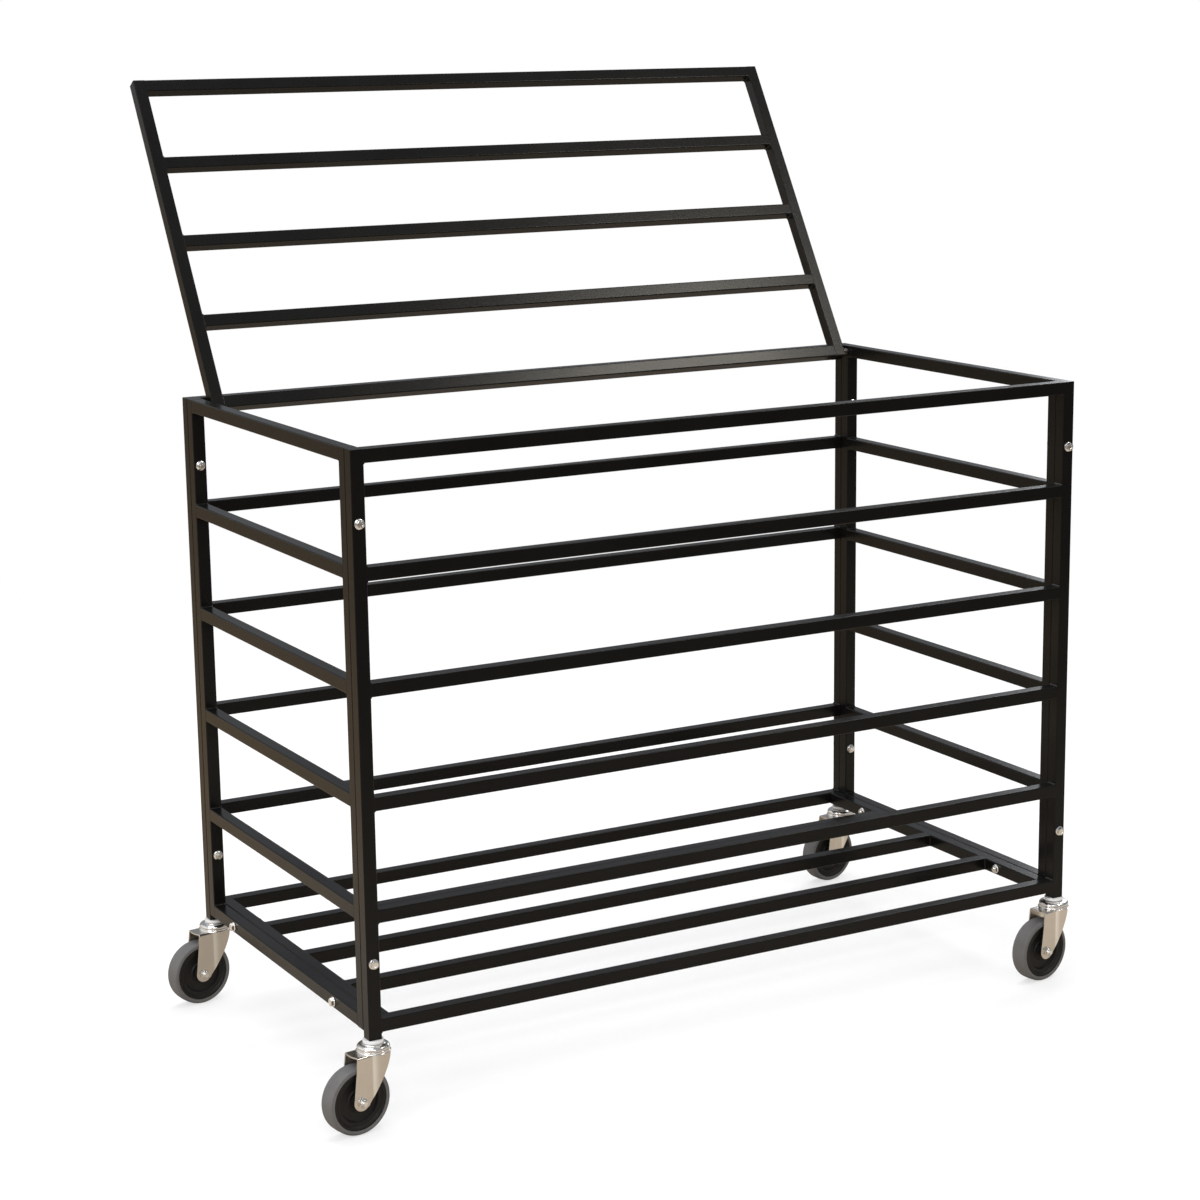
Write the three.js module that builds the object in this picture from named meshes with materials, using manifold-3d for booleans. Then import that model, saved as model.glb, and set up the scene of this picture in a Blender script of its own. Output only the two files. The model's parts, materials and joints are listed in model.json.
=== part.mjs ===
// Ball cart: a cage of welded square steel tube, open between its rails, that stands on four
// swivel casters and has a lid of the same tube hinged along the back.
// Millimetres, +Z up, the front towards -Y and the left end towards -X.
import * as THREE from 'three';
import { mergeVertices } from 'three/addons/utils/BufferGeometryUtils.js';
import Module from 'manifold-3d';

const wasm = await Module();
wasm.setup();

// Cage
const CAGE_LENGTH = 1235;
const CAGE_DEPTH = 635;
const TUBE = 20;
const TUBE_WALL = 1.5;
const TUBE_CORNER = 1.6;
const RAIL_PITCH = 163;
const BOTTOM_PITCH = 161;
const RAIL_PITCHES = 4;
const FOOT_LENGTH = 9.9;
const FLOOR_BARS = 3;

// Lid
const LID_LEAN_DEG = 30.8;
const LID_SIDE_GAP = 11.5;
const LID_FRONT_GAP = 15.5;
const LID_RAILS = 5;

// Lid rest tabs, bent from strip and welded behind the front top rail
const TAB_WIDTH = 30;
const TAB_SHEET = 3;
const TAB_REACH = 32;
const TAB_UPSTAND = 12;
const TAB_PLACE_SHARE = 0.3;

// Lid pivot pins
const PIN_DIAMETER = 8;
const PIN_COLLAR_DIAMETER = 11;

// Frame bolts and nuts
const BOLT_DIAMETER = 6;
const BOLT_HEX = 11;
const BOLT_HEAD = 4.5;
const BOLT_FLANGE_DIAMETER = 15;
const BOLT_FLANGE = 1.4;
const BOLT_TIP = 1.5;
const NUT_HEIGHT = 5;
const UPPER_BOLT_SHARE = 0.576;
const LOWER_BOLT_SHARE = 0.41;
const END_BOLT_SHARE = 0.61;

// Caster stem, its socket and the two bearing cups
const STEM_DIAMETER = 11;
const STEM_LENGTH = 36;
const STEM_TIP = 1.5;
const COLLAR_DIAMETER = 30;
const COLLAR_HEIGHT = 7.4;
const COLLAR_EDGE = 1.5;
const CUP_DIAMETER = 47.5;
const UPPER_CUP = 3.8;
const LOWER_CUP = 4.5;
const CUP_EDGE = 2;
const CUP_GAP = 0.5;
const KINGPIN_DIAMETER = 12;
const KINGPIN_HEAD_DIAMETER = 18;
const KINGPIN_HEAD = 2.5;

// Caster fork
const FORK_SHEET = 2.2;
const FORK_OVERHANG = 5.3;
const FORK_END_RADIUS = 13;
const FORK_EDGE_SLOPE_DEG = 42;

// Caster wheel
const WHEEL_DIAMETER = 101.6;
const TYRE_WIDTH = 28;
const TYRE_DEPTH = 7.5;
const TYRE_SHOULDER = 4;
const WHEEL_TOP_CLEARANCE = 10.8;
const WHEEL_SIDE_CLEARANCE = 1.2;
const TRAIL = 32;
const SWIVEL_REST_DEG = 8.5;
const HUB_BOSS_DIAMETER = 19;
const HUB_BOSS_CLEARANCE = 0.8;
const HUB_WEB = 12;
const HUB_RIM = 5;
const HUB_RIM_SLOPE = 3;
const HUB_RIM_SETBACK = 1;
const AXLE_DIAMETER = 8;
const AXLE_HEX = 13;
const AXLE_HEAD = 5.3;
const AXLE_NUT = 6.5;
const AXLE_TIP = 2;

// Fit between pieces that touch, and the play of a shaft in its hole, on the radius
const FIT = 0.3;
const PLAY = 0.3;

// Facets of round pieces
const SHANK_FACETS = 8;
const ROUND_FACETS = 12;
const CUP_FACETS = 18;
const WHEEL_FACETS = 24;
const CORNER_SEGMENTS = 1;
const LEG_SEGMENTS = 6;

// Levels, from the floor up
const wheelRadius = WHEEL_DIAMETER / 2;
const forkTopDrop = FIT + COLLAR_HEIGHT + FIT + UPPER_CUP + CUP_GAP + LOWER_CUP;
const kingpinEndDrop = forkTopDrop + FORK_SHEET + FIT + KINGPIN_HEAD;
const axleDrop = kingpinEndDrop + WHEEL_TOP_CLEARANCE + wheelRadius;
const footLevel = wheelRadius + axleDrop;
const bottomRailLevel = footLevel + FOOT_LENGTH;
const bottomRailDrop = RAIL_PITCHES * RAIL_PITCH + BOTTOM_PITCH;
const topLevel = bottomRailLevel + TUBE + bottomRailDrop;
const halfTube = TUBE / 2;

// Middle heights of the six rails, top one first
const railHeights = [];
for (let step = 0; step <= RAIL_PITCHES; step += 1) {
  railHeights.push(topLevel - step * RAIL_PITCH - halfTube);
}
railHeights.push(bottomRailLevel + halfTube);

// Middle lines of the uprights
const uprightX = CAGE_LENGTH / 2 - halfTube;
const sideUprightY = CAGE_DEPTH / 2 - halfTube;
const endUprightY = sideUprightY - TUBE - FIT;

// Materials
const blackPaint = new THREE.MeshStandardMaterial({ color: 0x17171a, roughness: 0.4, metalness: 0.3 });
const zinc = new THREE.MeshStandardMaterial({ color: 0xb9b7b2, roughness: 0.28, metalness: 0.9 });
const polishedSteel = new THREE.MeshStandardMaterial({ color: 0xa9a49c, roughness: 0.22, metalness: 1 });
const whitePlastic = new THREE.MeshStandardMaterial({ color: 0xd9dadb, roughness: 0.4, metalness: 0 });
const blackPlastic = new THREE.MeshStandardMaterial({ color: 0x1c1b1b, roughness: 0.5, metalness: 0 });
const greyRubber = new THREE.MeshStandardMaterial({ color: 0x5b5b5d, roughness: 0.7, metalness: 0 });

// Solids and meshes

function solidOf(geometry) {
  const bare = geometry.clone();
  bare.deleteAttribute('normal');
  bare.deleteAttribute('uv');
  const merged = mergeVertices(bare);
  return new wasm.Manifold(new wasm.Mesh({
    numProp: 3,
    vertProperties: new Float32Array(merged.attributes.position.array),
    triVerts: new Uint32Array(merged.index.array),
  }));
}

function geometryOf(solid) {
  const mesh = solid.getMesh();
  const geometry = new THREE.BufferGeometry();
  geometry.setAttribute('position', new THREE.BufferAttribute(mesh.vertProperties, 3));
  geometry.setIndex(new THREE.BufferAttribute(mesh.triVerts, 1));
  geometry.computeVertexNormals();
  return geometry;
}

function joined(solids) {
  return solids.reduce((whole, piece) => whole.add(piece));
}

function addMesh(parent, name, geometry, material) {
  const mesh = new THREE.Mesh(geometry, material);
  mesh.name = name;
  parent.add(mesh);
  return mesh;
}

function radians(degrees) {
  return THREE.MathUtils.degToRad(degrees);
}

// Square bar along one axis, by the middle of its length; the corner radius may be zero
function squareBar(axis, middle, length, side, corner) {
  const half = side / 2;
  const flat = half - corner;
  const outline = new THREE.Shape();
  outline.moveTo(-flat, -half);
  outline.lineTo(flat, -half);
  if (corner > 0) {
    outline.absarc(flat, -flat, corner, -Math.PI / 2, 0, false);
    outline.absarc(flat, flat, corner, 0, Math.PI / 2, false);
    outline.absarc(-flat, flat, corner, Math.PI / 2, Math.PI, false);
    outline.absarc(-flat, -flat, corner, Math.PI, Math.PI * 1.5, false);
  } else {
    outline.lineTo(half, half);
    outline.lineTo(-half, half);
  }
  const geometry = new THREE.ExtrudeGeometry(outline, {
    depth: length,
    bevelEnabled: false,
    curveSegments: CORNER_SEGMENTS,
  });
  geometry.translate(0, 0, -length / 2);
  if (axis === 'x') geometry.rotateY(Math.PI / 2);
  if (axis === 'y') geometry.rotateX(-Math.PI / 2);
  geometry.translate(...middle);
  return solidOf(geometry);
}

// Round bar along one axis, by the middle of its length
function roundBar(axis, middle, length, diameter, facets) {
  const geometry = new THREE.CylinderGeometry(diameter / 2, diameter / 2, length, facets);
  if (axis === 'x') geometry.rotateZ(Math.PI / 2);
  if (axis === 'z') geometry.rotateX(Math.PI / 2);
  geometry.translate(...middle);
  return solidOf(geometry);
}

// Turned piece on the Z axis from [radius, height] points that run upwards on the outside
function turned(points, facets) {
  const profile = points.map(([radius, height]) => new THREE.Vector2(radius, height));
  const geometry = new THREE.LatheGeometry(profile, facets);
  geometry.rotateX(Math.PI / 2);
  return geometry;
}

// Welded frame of square tube. Each bar is { axis, middle, length, open, into }: an open bar shows
// its bore at both ends or at the low one, and a bar welded into others has into set, so that its
// skin and its bore run on into theirs.
function tubeFrame(bars, extras, holes) {
  const skins = [];
  const bores = [];
  for (const { axis, middle, length, open, into } of bars) {
    const skinLength = into ? length + 2 * TUBE_CORNER : length;
    skins.push(squareBar(axis, middle, skinLength, TUBE, TUBE_CORNER));
    const boreSide = TUBE - 2 * TUBE_WALL;
    let boreLength = length - 2 * TUBE_WALL;
    const boreMiddle = [...middle];
    if (into) boreLength = length + TUBE;
    if (open === 'both') boreLength = length + 2 * TUBE;
    if (open === 'low') {
      boreLength = length - TUBE_WALL + TUBE;
      boreMiddle[2] -= (TUBE + TUBE_WALL) / 2;
    }
    bores.push(squareBar(axis, boreMiddle, boreLength, boreSide, 0));
  }
  let solid = joined([...skins, ...extras]).subtract(joined(bores));
  if (holes.length > 0) solid = solid.subtract(joined(holes));
  return solid;
}

function boltHole(axis, middle) {
  return roundBar(axis, middle, 2 * TUBE, BOLT_DIAMETER + 2 * PLAY, SHANK_FACETS);
}

const cart = new THREE.Group();

// Bolt places: the corner bolts sit between two rails, the end bolts on the bottom end rails
const upperBoltHeight = topLevel - TUBE - UPPER_BOLT_SHARE * (RAIL_PITCH - TUBE);
const lowerBoltSpace = BOTTOM_PITCH - TUBE;
const lowerBoltHeight = bottomRailLevel + TUBE + (1 - LOWER_BOLT_SHARE) * lowerBoltSpace;
const cornerBoltHeights = [upperBoltHeight, lowerBoltHeight];
const endBoltY = END_BOLT_SHARE * (CAGE_DEPTH / 2);
const bottomRailHeight = railHeights[railHeights.length - 1];

// Front and back panels: two uprights, whose feet reach below the bottom rail, and six rails

function restTabs() {
  const inside = -CAGE_DEPTH / 2 + TUBE;
  const level = topLevel - TUBE - FIT;
  const pieces = [];
  for (const side of [-1, 1]) {
    const middleX = side * TAB_PLACE_SHARE * CAGE_LENGTH;
    const leg = new THREE.BoxGeometry(TAB_WIDTH, TAB_REACH, TAB_SHEET);
    leg.translate(middleX, inside + TAB_REACH / 2, level - TAB_SHEET / 2);
    const height = TAB_UPSTAND + TAB_SHEET + FIT;
    const upstand = new THREE.BoxGeometry(TAB_WIDTH, TAB_SHEET + TUBE_WALL / 2, height);
    const upstandY = inside + TAB_SHEET / 2 - TUBE_WALL / 4;
    upstand.translate(middleX, upstandY, level - TAB_SHEET + height / 2);
    pieces.push(solidOf(leg), solidOf(upstand));
  }
  return pieces;
}

function sidePanel(side) {
  const y = side * sideUprightY;
  const uprightLength = topLevel - footLevel;
  const bars = [];
  for (const end of [-1, 1]) {
    const middle = [end * uprightX, y, footLevel + uprightLength / 2];
    bars.push({ axis: 'z', middle, length: uprightLength, open: 'low' });
  }
  for (const height of railHeights) {
    bars.push({ axis: 'x', middle: [0, y, height], length: CAGE_LENGTH - 2 * TUBE, into: true });
  }
  const holes = [];
  for (const end of [-1, 1]) {
    for (const height of cornerBoltHeights) holes.push(boltHole('y', [end * uprightX, y, height]));
  }
  return tubeFrame(bars, side < 0 ? restTabs() : [], holes);
}

addMesh(cart, 'front_panel', geometryOf(sidePanel(-1)), blackPaint);
addMesh(cart, 'back_panel', geometryOf(sidePanel(1)), blackPaint);

// Lid pivot: level with the middle of the top rails, and far enough in front of the back rail for
// the open lid to lean on that rail's rounded front edge
const lean = radians(LID_LEAN_DEG);
const leanReach = halfTube + TUBE_CORNER + FIT + (halfTube - TUBE_CORNER) * Math.sin(lean);
const pivotSetback = leanReach / Math.cos(lean) - TUBE_CORNER;
const pivotY = CAGE_DEPTH / 2 - TUBE - pivotSetback;
const pivotZ = topLevel - halfTube;

// End panels: two uprights and six rails, bolted between the front and the back panel

function endPanel(end) {
  const x = end * uprightX;
  const uprightLength = topLevel - bottomRailLevel;
  const bars = [];
  for (const side of [-1, 1]) {
    const middle = [x, side * endUprightY, bottomRailLevel + uprightLength / 2];
    bars.push({ axis: 'z', middle, length: uprightLength, open: 'low' });
  }
  for (const height of railHeights) {
    bars.push({ axis: 'y', middle: [x, 0, height], length: 2 * endUprightY - TUBE, into: true });
  }
  const holes = [];
  for (const side of [-1, 1]) {
    for (const height of cornerBoltHeights) holes.push(boltHole('y', [x, side * endUprightY, height]));
    holes.push(boltHole('x', [x, side * endBoltY, bottomRailHeight]));
  }
  // The pivot pin turns in the inner wall only
  const pinHoleLength = TUBE - TUBE_WALL;
  const pinHoleX = end * (uprightX - TUBE_WALL / 2 - PLAY);
  const pinHole = PIN_DIAMETER + 2 * PLAY;
  holes.push(roundBar('x', [pinHoleX, pivotY, pivotZ], pinHoleLength, pinHole, ROUND_FACETS));
  return tubeFrame(bars, [], holes);
}

addMesh(cart, 'left_end_panel', geometryOf(endPanel(-1)), blackPaint);
addMesh(cart, 'right_end_panel', geometryOf(endPanel(1)), blackPaint);

// Floor frame: two cross tubes bolted to the bottom end rails, and the long bars between them
const crossTubeX = uprightX - TUBE - FIT;
const crossTubeLength = CAGE_DEPTH - 2 * TUBE - 2 * FIT;
const floorClear = CAGE_DEPTH - 2 * TUBE;
const floorGap = (floorClear - FLOOR_BARS * TUBE) / (FLOOR_BARS + 1);

function floorFrame() {
  const bars = [];
  for (const end of [-1, 1]) {
    const middle = [end * crossTubeX, 0, bottomRailHeight];
    bars.push({ axis: 'y', middle, length: crossTubeLength, open: 'both' });
  }
  for (let count = 0; count < FLOOR_BARS; count += 1) {
    const y = -floorClear / 2 + (count + 1) * floorGap + (count + 0.5) * TUBE;
    const length = 2 * crossTubeX - TUBE;
    bars.push({ axis: 'x', middle: [0, y, bottomRailHeight], length, into: true });
  }
  const holes = [];
  for (const end of [-1, 1]) {
    for (const side of [-1, 1]) {
      holes.push(boltHole('x', [end * crossTubeX, side * endBoltY, bottomRailHeight]));
    }
  }
  return tubeFrame(bars, [], holes);
}

addMesh(cart, 'floor_frame', geometryOf(floorFrame()), blackPaint);

// Flanged bolt on +Z, its head up and its flange sitting at zero
function flangeBolt(shankLength) {
  const shankMiddle = [0, 0, (BOLT_FLANGE - shankLength) / 2];
  const shank = roundBar('z', shankMiddle, BOLT_FLANGE + shankLength, BOLT_DIAMETER, SHANK_FACETS);
  const flangeMiddle = [0, 0, BOLT_FLANGE / 2];
  const flange = roundBar('z', flangeMiddle, BOLT_FLANGE, BOLT_FLANGE_DIAMETER, ROUND_FACETS);
  const hexDiameter = BOLT_HEX / Math.cos(Math.PI / 6);
  const hexLength = BOLT_HEAD + BOLT_FLANGE / 2;
  const hex = roundBar('z', [0, 0, BOLT_FLANGE / 2 + hexLength / 2], hexLength, hexDiameter, 6);
  return geometryOf(joined([shank, flange, hex]));
}

// Flanged nut on +Z, its flange down at zero
function flangeNut() {
  const flangeMiddle = [0, 0, BOLT_FLANGE / 2];
  const flange = roundBar('z', flangeMiddle, BOLT_FLANGE, BOLT_FLANGE_DIAMETER, ROUND_FACETS);
  const hexDiameter = BOLT_HEX / Math.cos(Math.PI / 6);
  const hexLength = NUT_HEIGHT - BOLT_FLANGE / 2;
  const hex = roundBar('z', [0, 0, BOLT_FLANGE / 2 + hexLength / 2], hexLength, hexDiameter, 6);
  const boreMiddle = [0, 0, NUT_HEIGHT / 2];
  const bore = roundBar('z', boreMiddle, 2 * NUT_HEIGHT, BOLT_DIAMETER + 2 * PLAY, SHANK_FACETS);
  return geometryOf(joined([flange, hex]).subtract(bore));
}

const boltGrip = 2 * TUBE + 3 * FIT;
const boltLength = boltGrip + NUT_HEIGHT + BOLT_TIP;
const boltGeometry = flangeBolt(boltLength);
const nutGeometry = flangeNut();
const endNames = { '-1': 'left', 1: 'right' };
const sideNames = { '-1': 'front', 1: 'back' };
const levelNames = ['upper', 'lower'];

// A bolt whose head stands off the outer face at place, and its nut behind two tubes
function addBolt(name, place, outward) {
  const group = new THREE.Group();
  group.position.set(...place);
  group.quaternion.setFromUnitVectors(new THREE.Vector3(0, 0, 1), new THREE.Vector3(...outward));
  cart.add(group);
  const bolt = addMesh(group, `${name}_bolt`, boltGeometry, zinc);
  bolt.position.z = FIT;
  const nut = addMesh(group, `${name}_nut`, nutGeometry, zinc);
  nut.rotation.x = Math.PI;
  nut.position.z = FIT - boltGrip;
}

for (const side of [-1, 1]) {
  for (const end of [-1, 1]) {
    cornerBoltHeights.forEach((height, level) => {
      const name = `${sideNames[side]}_${endNames[end]}_${levelNames[level]}`;
      addBolt(name, [end * uprightX, side * (CAGE_DEPTH / 2), height], [0, side, 0]);
    });
  }
}
for (const end of [-1, 1]) {
  for (const side of [-1, 1]) {
    const name = `floor_${endNames[end]}_${sideNames[side]}`;
    addBolt(name, [end * (CAGE_LENGTH / 2), side * endBoltY, bottomRailHeight], [end, 0, 0]);
  }
}

// Lid, drawn closed with its pivot line on the X axis and its free edge towards -Y, and then
// turned open about that line
const lidLength = CAGE_LENGTH - 2 * TUBE - 2 * LID_SIDE_GAP;
const lidFreeEdge = -CAGE_DEPTH / 2 + TUBE + LID_FRONT_GAP - pivotY;
const lidDepth = halfTube - lidFreeEdge;
const lidPitch = (lidDepth - TUBE) / (LID_RAILS - 1);
const lidSideX = lidLength / 2 - halfTube;

function lidFrame() {
  const bars = [];
  for (const end of [-1, 1]) {
    const middle = [end * lidSideX, halfTube - lidDepth / 2, 0];
    bars.push({ axis: 'y', middle, length: lidDepth });
  }
  for (let count = 0; count < LID_RAILS; count += 1) {
    const middle = [0, -count * lidPitch, 0];
    bars.push({ axis: 'x', middle, length: lidLength - 2 * TUBE, into: true });
  }
  const holes = [];
  for (const end of [-1, 1]) {
    const pinHoleX = end * (lidSideX + TUBE_WALL / 2 + PLAY);
    const pinHole = PIN_DIAMETER + 2 * PLAY;
    holes.push(roundBar('x', [pinHoleX, 0, 0], TUBE - TUBE_WALL, pinHole, ROUND_FACETS));
  }
  return tubeFrame(bars, [], holes);
}

const lidGroup = new THREE.Group();
lidGroup.position.set(0, pivotY, pivotZ);
lidGroup.rotation.x = -(Math.PI / 2 + lean);
cart.add(lidGroup);
addMesh(lidGroup, 'lid', geometryOf(lidFrame()), blackPaint);

// Pivot pin: a collar that fills the side gap, and a shank into the lid bar and the end rail
function pivotPin() {
  const reach = TUBE - TUBE_WALL - FIT;
  const collar = LID_SIDE_GAP / 2 - FIT;
  const end = LID_SIDE_GAP / 2 + reach;
  const points = [
    [0, -end],
    [PIN_DIAMETER / 2, -end],
    [PIN_DIAMETER / 2, -collar],
    [PIN_COLLAR_DIAMETER / 2, -collar],
    [PIN_COLLAR_DIAMETER / 2, collar],
    [PIN_DIAMETER / 2, collar],
    [PIN_DIAMETER / 2, end],
    [0, end],
  ];
  return turned(points, ROUND_FACETS).rotateY(Math.PI / 2);
}

const pinGeometry = pivotPin();
for (const end of [-1, 1]) {
  const pin = addMesh(lidGroup, `lid_${endNames[end]}_pivot_pin`, pinGeometry, zinc);
  pin.position.x = end * (lidLength / 2 + LID_SIDE_GAP / 2);
}

// Caster pieces, drawn on the swivel axis with zero at the foot of the post and the trail along +X
const cupRadius = CUP_DIAMETER / 2;
const stemPlay = STEM_DIAMETER / 2 + PLAY;
const cupTop = -FIT - COLLAR_HEIGHT - FIT;
const cupBase = cupTop - UPPER_CUP;
const raceTop = cupBase - CUP_GAP;
const plateTop = -forkTopDrop;
const plateBase = plateTop - FORK_SHEET;

// Stem socket: a square plug inside the post, with a round collar below the post's end
function stemSocket() {
  const plugSide = TUBE - 2 * TUBE_WALL - 2 * FIT;
  const plugLength = STEM_LENGTH + COLLAR_HEIGHT;
  const plugMiddle = plugLength / 2 - FIT - COLLAR_HEIGHT / 2;
  const plug = squareBar('z', [0, 0, plugMiddle], plugLength, plugSide, 0);
  const collarRadius = COLLAR_DIAMETER / 2;
  const collar = solidOf(turned([
    [0, -FIT - COLLAR_HEIGHT],
    [collarRadius - COLLAR_EDGE, -FIT - COLLAR_HEIGHT],
    [collarRadius, -FIT - COLLAR_HEIGHT + COLLAR_EDGE],
    [collarRadius, -FIT - COLLAR_EDGE],
    [collarRadius - COLLAR_EDGE, -FIT],
    [0, -FIT],
  ], CUP_FACETS));
  const bore = roundBar('z', [0, 0, 0], 4 * plugLength, 2 * stemPlay, ROUND_FACETS);
  return geometryOf(joined([plug, collar]).subtract(bore));
}

// Caster stem: the stem, the upper bearing cup and the kingpin that the fork turns on, riveted
// over below the fork's plate
function casterStem() {
  const stemRadius = STEM_DIAMETER / 2;
  const kingpinRadius = KINGPIN_DIAMETER / 2;
  const headRadius = KINGPIN_HEAD_DIAMETER / 2;
  const headTop = plateBase - FIT;
  return turned([
    [0, headTop - KINGPIN_HEAD],
    [headRadius - KINGPIN_HEAD / 2, headTop - KINGPIN_HEAD],
    [headRadius, headTop - KINGPIN_HEAD / 2],
    [headRadius, headTop],
    [kingpinRadius, headTop],
    [kingpinRadius, cupBase],
    [cupRadius, cupBase],
    [cupRadius, cupTop - CUP_EDGE],
    [cupRadius - CUP_EDGE, cupTop],
    [stemRadius, cupTop],
    [stemRadius, STEM_LENGTH - STEM_TIP],
    [stemRadius - STEM_TIP, STEM_LENGTH],
    [0, STEM_LENGTH],
  ], ROUND_FACETS);
}

// Caster fork: a bent plate with two legs that taper to the axle, and the lower bearing cup
const forkHalf = TYRE_WIDTH / 2 + WHEEL_SIDE_CLEARANCE + FORK_SHEET;
const forkReach = TRAIL + FORK_OVERHANG;

function forkLeg(side) {
  const startX = -Math.sqrt(Math.max(cupRadius ** 2 - forkHalf ** 2, 0));
  const slope = radians(FORK_EDGE_SLOPE_DEG);
  const tangentX = TRAIL - FORK_END_RADIUS * Math.cos(slope);
  const tangentDrop = axleDrop + FORK_END_RADIUS * Math.sin(slope);
  const controlDrop = tangentDrop - (tangentX - startX) / Math.tan(slope);
  const outline = new THREE.Shape();
  outline.moveTo(forkReach, plateTop);
  outline.lineTo(startX, plateTop);
  outline.quadraticCurveTo(startX, -controlDrop, tangentX, -tangentDrop);
  outline.absarc(TRAIL, -axleDrop, FORK_END_RADIUS, Math.PI + slope, 2 * Math.PI, false);
  outline.closePath();
  const geometry = new THREE.ExtrudeGeometry(outline, {
    depth: FORK_SHEET,
    bevelEnabled: false,
    curveSegments: LEG_SEGMENTS,
  });
  geometry.rotateX(Math.PI / 2);
  geometry.translate(0, side > 0 ? forkHalf : FORK_SHEET - forkHalf, 0);
  return solidOf(geometry);
}

function casterFork() {
  const plate = new THREE.BoxGeometry(forkReach, 2 * forkHalf, FORK_SHEET);
  plate.translate(forkReach / 2, 0, (plateTop + plateBase) / 2);
  const cup = turned([
    [0, plateBase],
    [cupRadius, plateBase],
    [cupRadius, raceTop - CUP_EDGE],
    [cupRadius - CUP_EDGE, raceTop],
    [0, raceTop],
  ], CUP_FACETS);
  const body = joined([solidOf(plate), solidOf(cup), forkLeg(-1), forkLeg(1)]);
  const kingpinHole = KINGPIN_DIAMETER + 2 * PLAY;
  const kingpin = roundBar('z', [0, 0, plateTop], 2 * CUP_DIAMETER, kingpinHole, ROUND_FACETS);
  const axleHole = AXLE_DIAMETER + 2 * PLAY;
  const axle = roundBar('y', [TRAIL, 0, -axleDrop], 4 * forkHalf, axleHole, ROUND_FACETS);
  return geometryOf(body.subtract(kingpin).subtract(axle));
}

// Axle bolt on +Z, its head above the outer face of one leg at zero
const axleGrip = 2 * forkHalf + 2 * FIT;

function axleBolt() {
  const length = AXLE_HEAD + axleGrip + AXLE_NUT + AXLE_TIP;
  const shank = roundBar('z', [0, 0, AXLE_HEAD - length / 2], length, AXLE_DIAMETER, ROUND_FACETS);
  const hexDiameter = AXLE_HEX / Math.cos(Math.PI / 6);
  const head = roundBar('z', [0, 0, AXLE_HEAD / 2], AXLE_HEAD, hexDiameter, 6);
  return geometryOf(joined([shank, head]));
}

function axleNut() {
  const hexDiameter = AXLE_HEX / Math.cos(Math.PI / 6);
  const hex = roundBar('z', [0, 0, -AXLE_NUT / 2], AXLE_NUT, hexDiameter, 6);
  const bore = roundBar('z', [0, 0, 0], 4 * AXLE_NUT, AXLE_DIAMETER + 2 * PLAY, ROUND_FACETS);
  return geometryOf(hex.subtract(bore));
}

// Wheel: a moulded hub with a boss, a thin web and a rim, and a rubber tyre round it
const hubRadius = wheelRadius - TYRE_DEPTH;

function wheelHub() {
  const boreRadius = AXLE_DIAMETER / 2 + PLAY;
  const bossRadius = HUB_BOSS_DIAMETER / 2;
  const bossHalf = TYRE_WIDTH / 2 + WHEEL_SIDE_CLEARANCE - HUB_BOSS_CLEARANCE;
  const rimHalf = TYRE_WIDTH / 2 - HUB_RIM_SETBACK;
  const rimRadius = hubRadius - FIT;
  const webHalf = HUB_WEB / 2;
  const side = [
    [rimRadius, rimHalf],
    [rimRadius - HUB_RIM, rimHalf],
    [rimRadius - HUB_RIM - HUB_RIM_SLOPE, webHalf],
    [bossRadius, webHalf],
    [bossRadius, bossHalf],
    [boreRadius, bossHalf],
  ];
  const mirrored = side.map(([radius, height]) => [radius, -height]).reverse();
  return turned([...mirrored, ...side, mirrored[0]], WHEEL_FACETS);
}

// The middles of the tread's facets lie on the true radius, so that the wheel stands at its height
function wheelTyre() {
  const half = TYRE_WIDTH / 2;
  const treadRadius = wheelRadius / Math.cos(Math.PI / WHEEL_FACETS);
  const bulge = TYRE_SHOULDER * (1 - Math.SQRT1_2);
  const side = [
    [treadRadius, half - TYRE_SHOULDER],
    [treadRadius - bulge, half - bulge],
    [treadRadius - TYRE_SHOULDER, half],
    [hubRadius, half],
  ];
  const mirrored = side.map(([radius, height]) => [radius, -height]).reverse();
  return turned([...mirrored, ...side, mirrored[0]], WHEEL_FACETS);
}

const socketGeometry = stemSocket();
const stemGeometry = casterStem();
const forkGeometry = casterFork();
const axleBoltGeometry = axleBolt();
const axleNutGeometry = axleNut();
const hubGeometry = wheelHub();
const tyreGeometry = wheelTyre();

function addCaster(end, side) {
  const corner = `${sideNames[side]}_${endNames[end]}`;
  const foot = new THREE.Group();
  foot.position.set(end * uprightX, side * sideUprightY, footLevel);
  cart.add(foot);
  addMesh(foot, `${corner}_stem_socket`, socketGeometry, whitePlastic);
  addMesh(foot, `${corner}_caster_stem`, stemGeometry, polishedSteel);
  const swivel = new THREE.Group();
  swivel.rotation.z = Math.PI + radians(SWIVEL_REST_DEG);
  foot.add(swivel);
  addMesh(swivel, `${corner}_fork`, forkGeometry, polishedSteel);
  const axle = new THREE.Group();
  axle.position.set(TRAIL, 0, -axleDrop);
  axle.rotation.x = -Math.PI / 2;
  swivel.add(axle);
  const bolt = addMesh(axle, `${corner}_axle_bolt`, axleBoltGeometry, zinc);
  bolt.rotation.x = Math.PI;
  bolt.position.z = -forkHalf - FIT;
  const nut = addMesh(axle, `${corner}_axle_nut`, axleNutGeometry, zinc);
  nut.rotation.x = Math.PI;
  nut.position.z = forkHalf + FIT;
  // The wheel stands on a facet, not on the edge between two
  const wheel = new THREE.Group();
  wheel.rotation.z = Math.PI / WHEEL_FACETS;
  axle.add(wheel);
  addMesh(wheel, `${corner}_wheel_hub`, hubGeometry, blackPlastic);
  addMesh(wheel, `${corner}_tyre`, tyreGeometry, greyRubber);
}

for (const side of [-1, 1]) {
  for (const end of [-1, 1]) addCaster(end, side);
}

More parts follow.
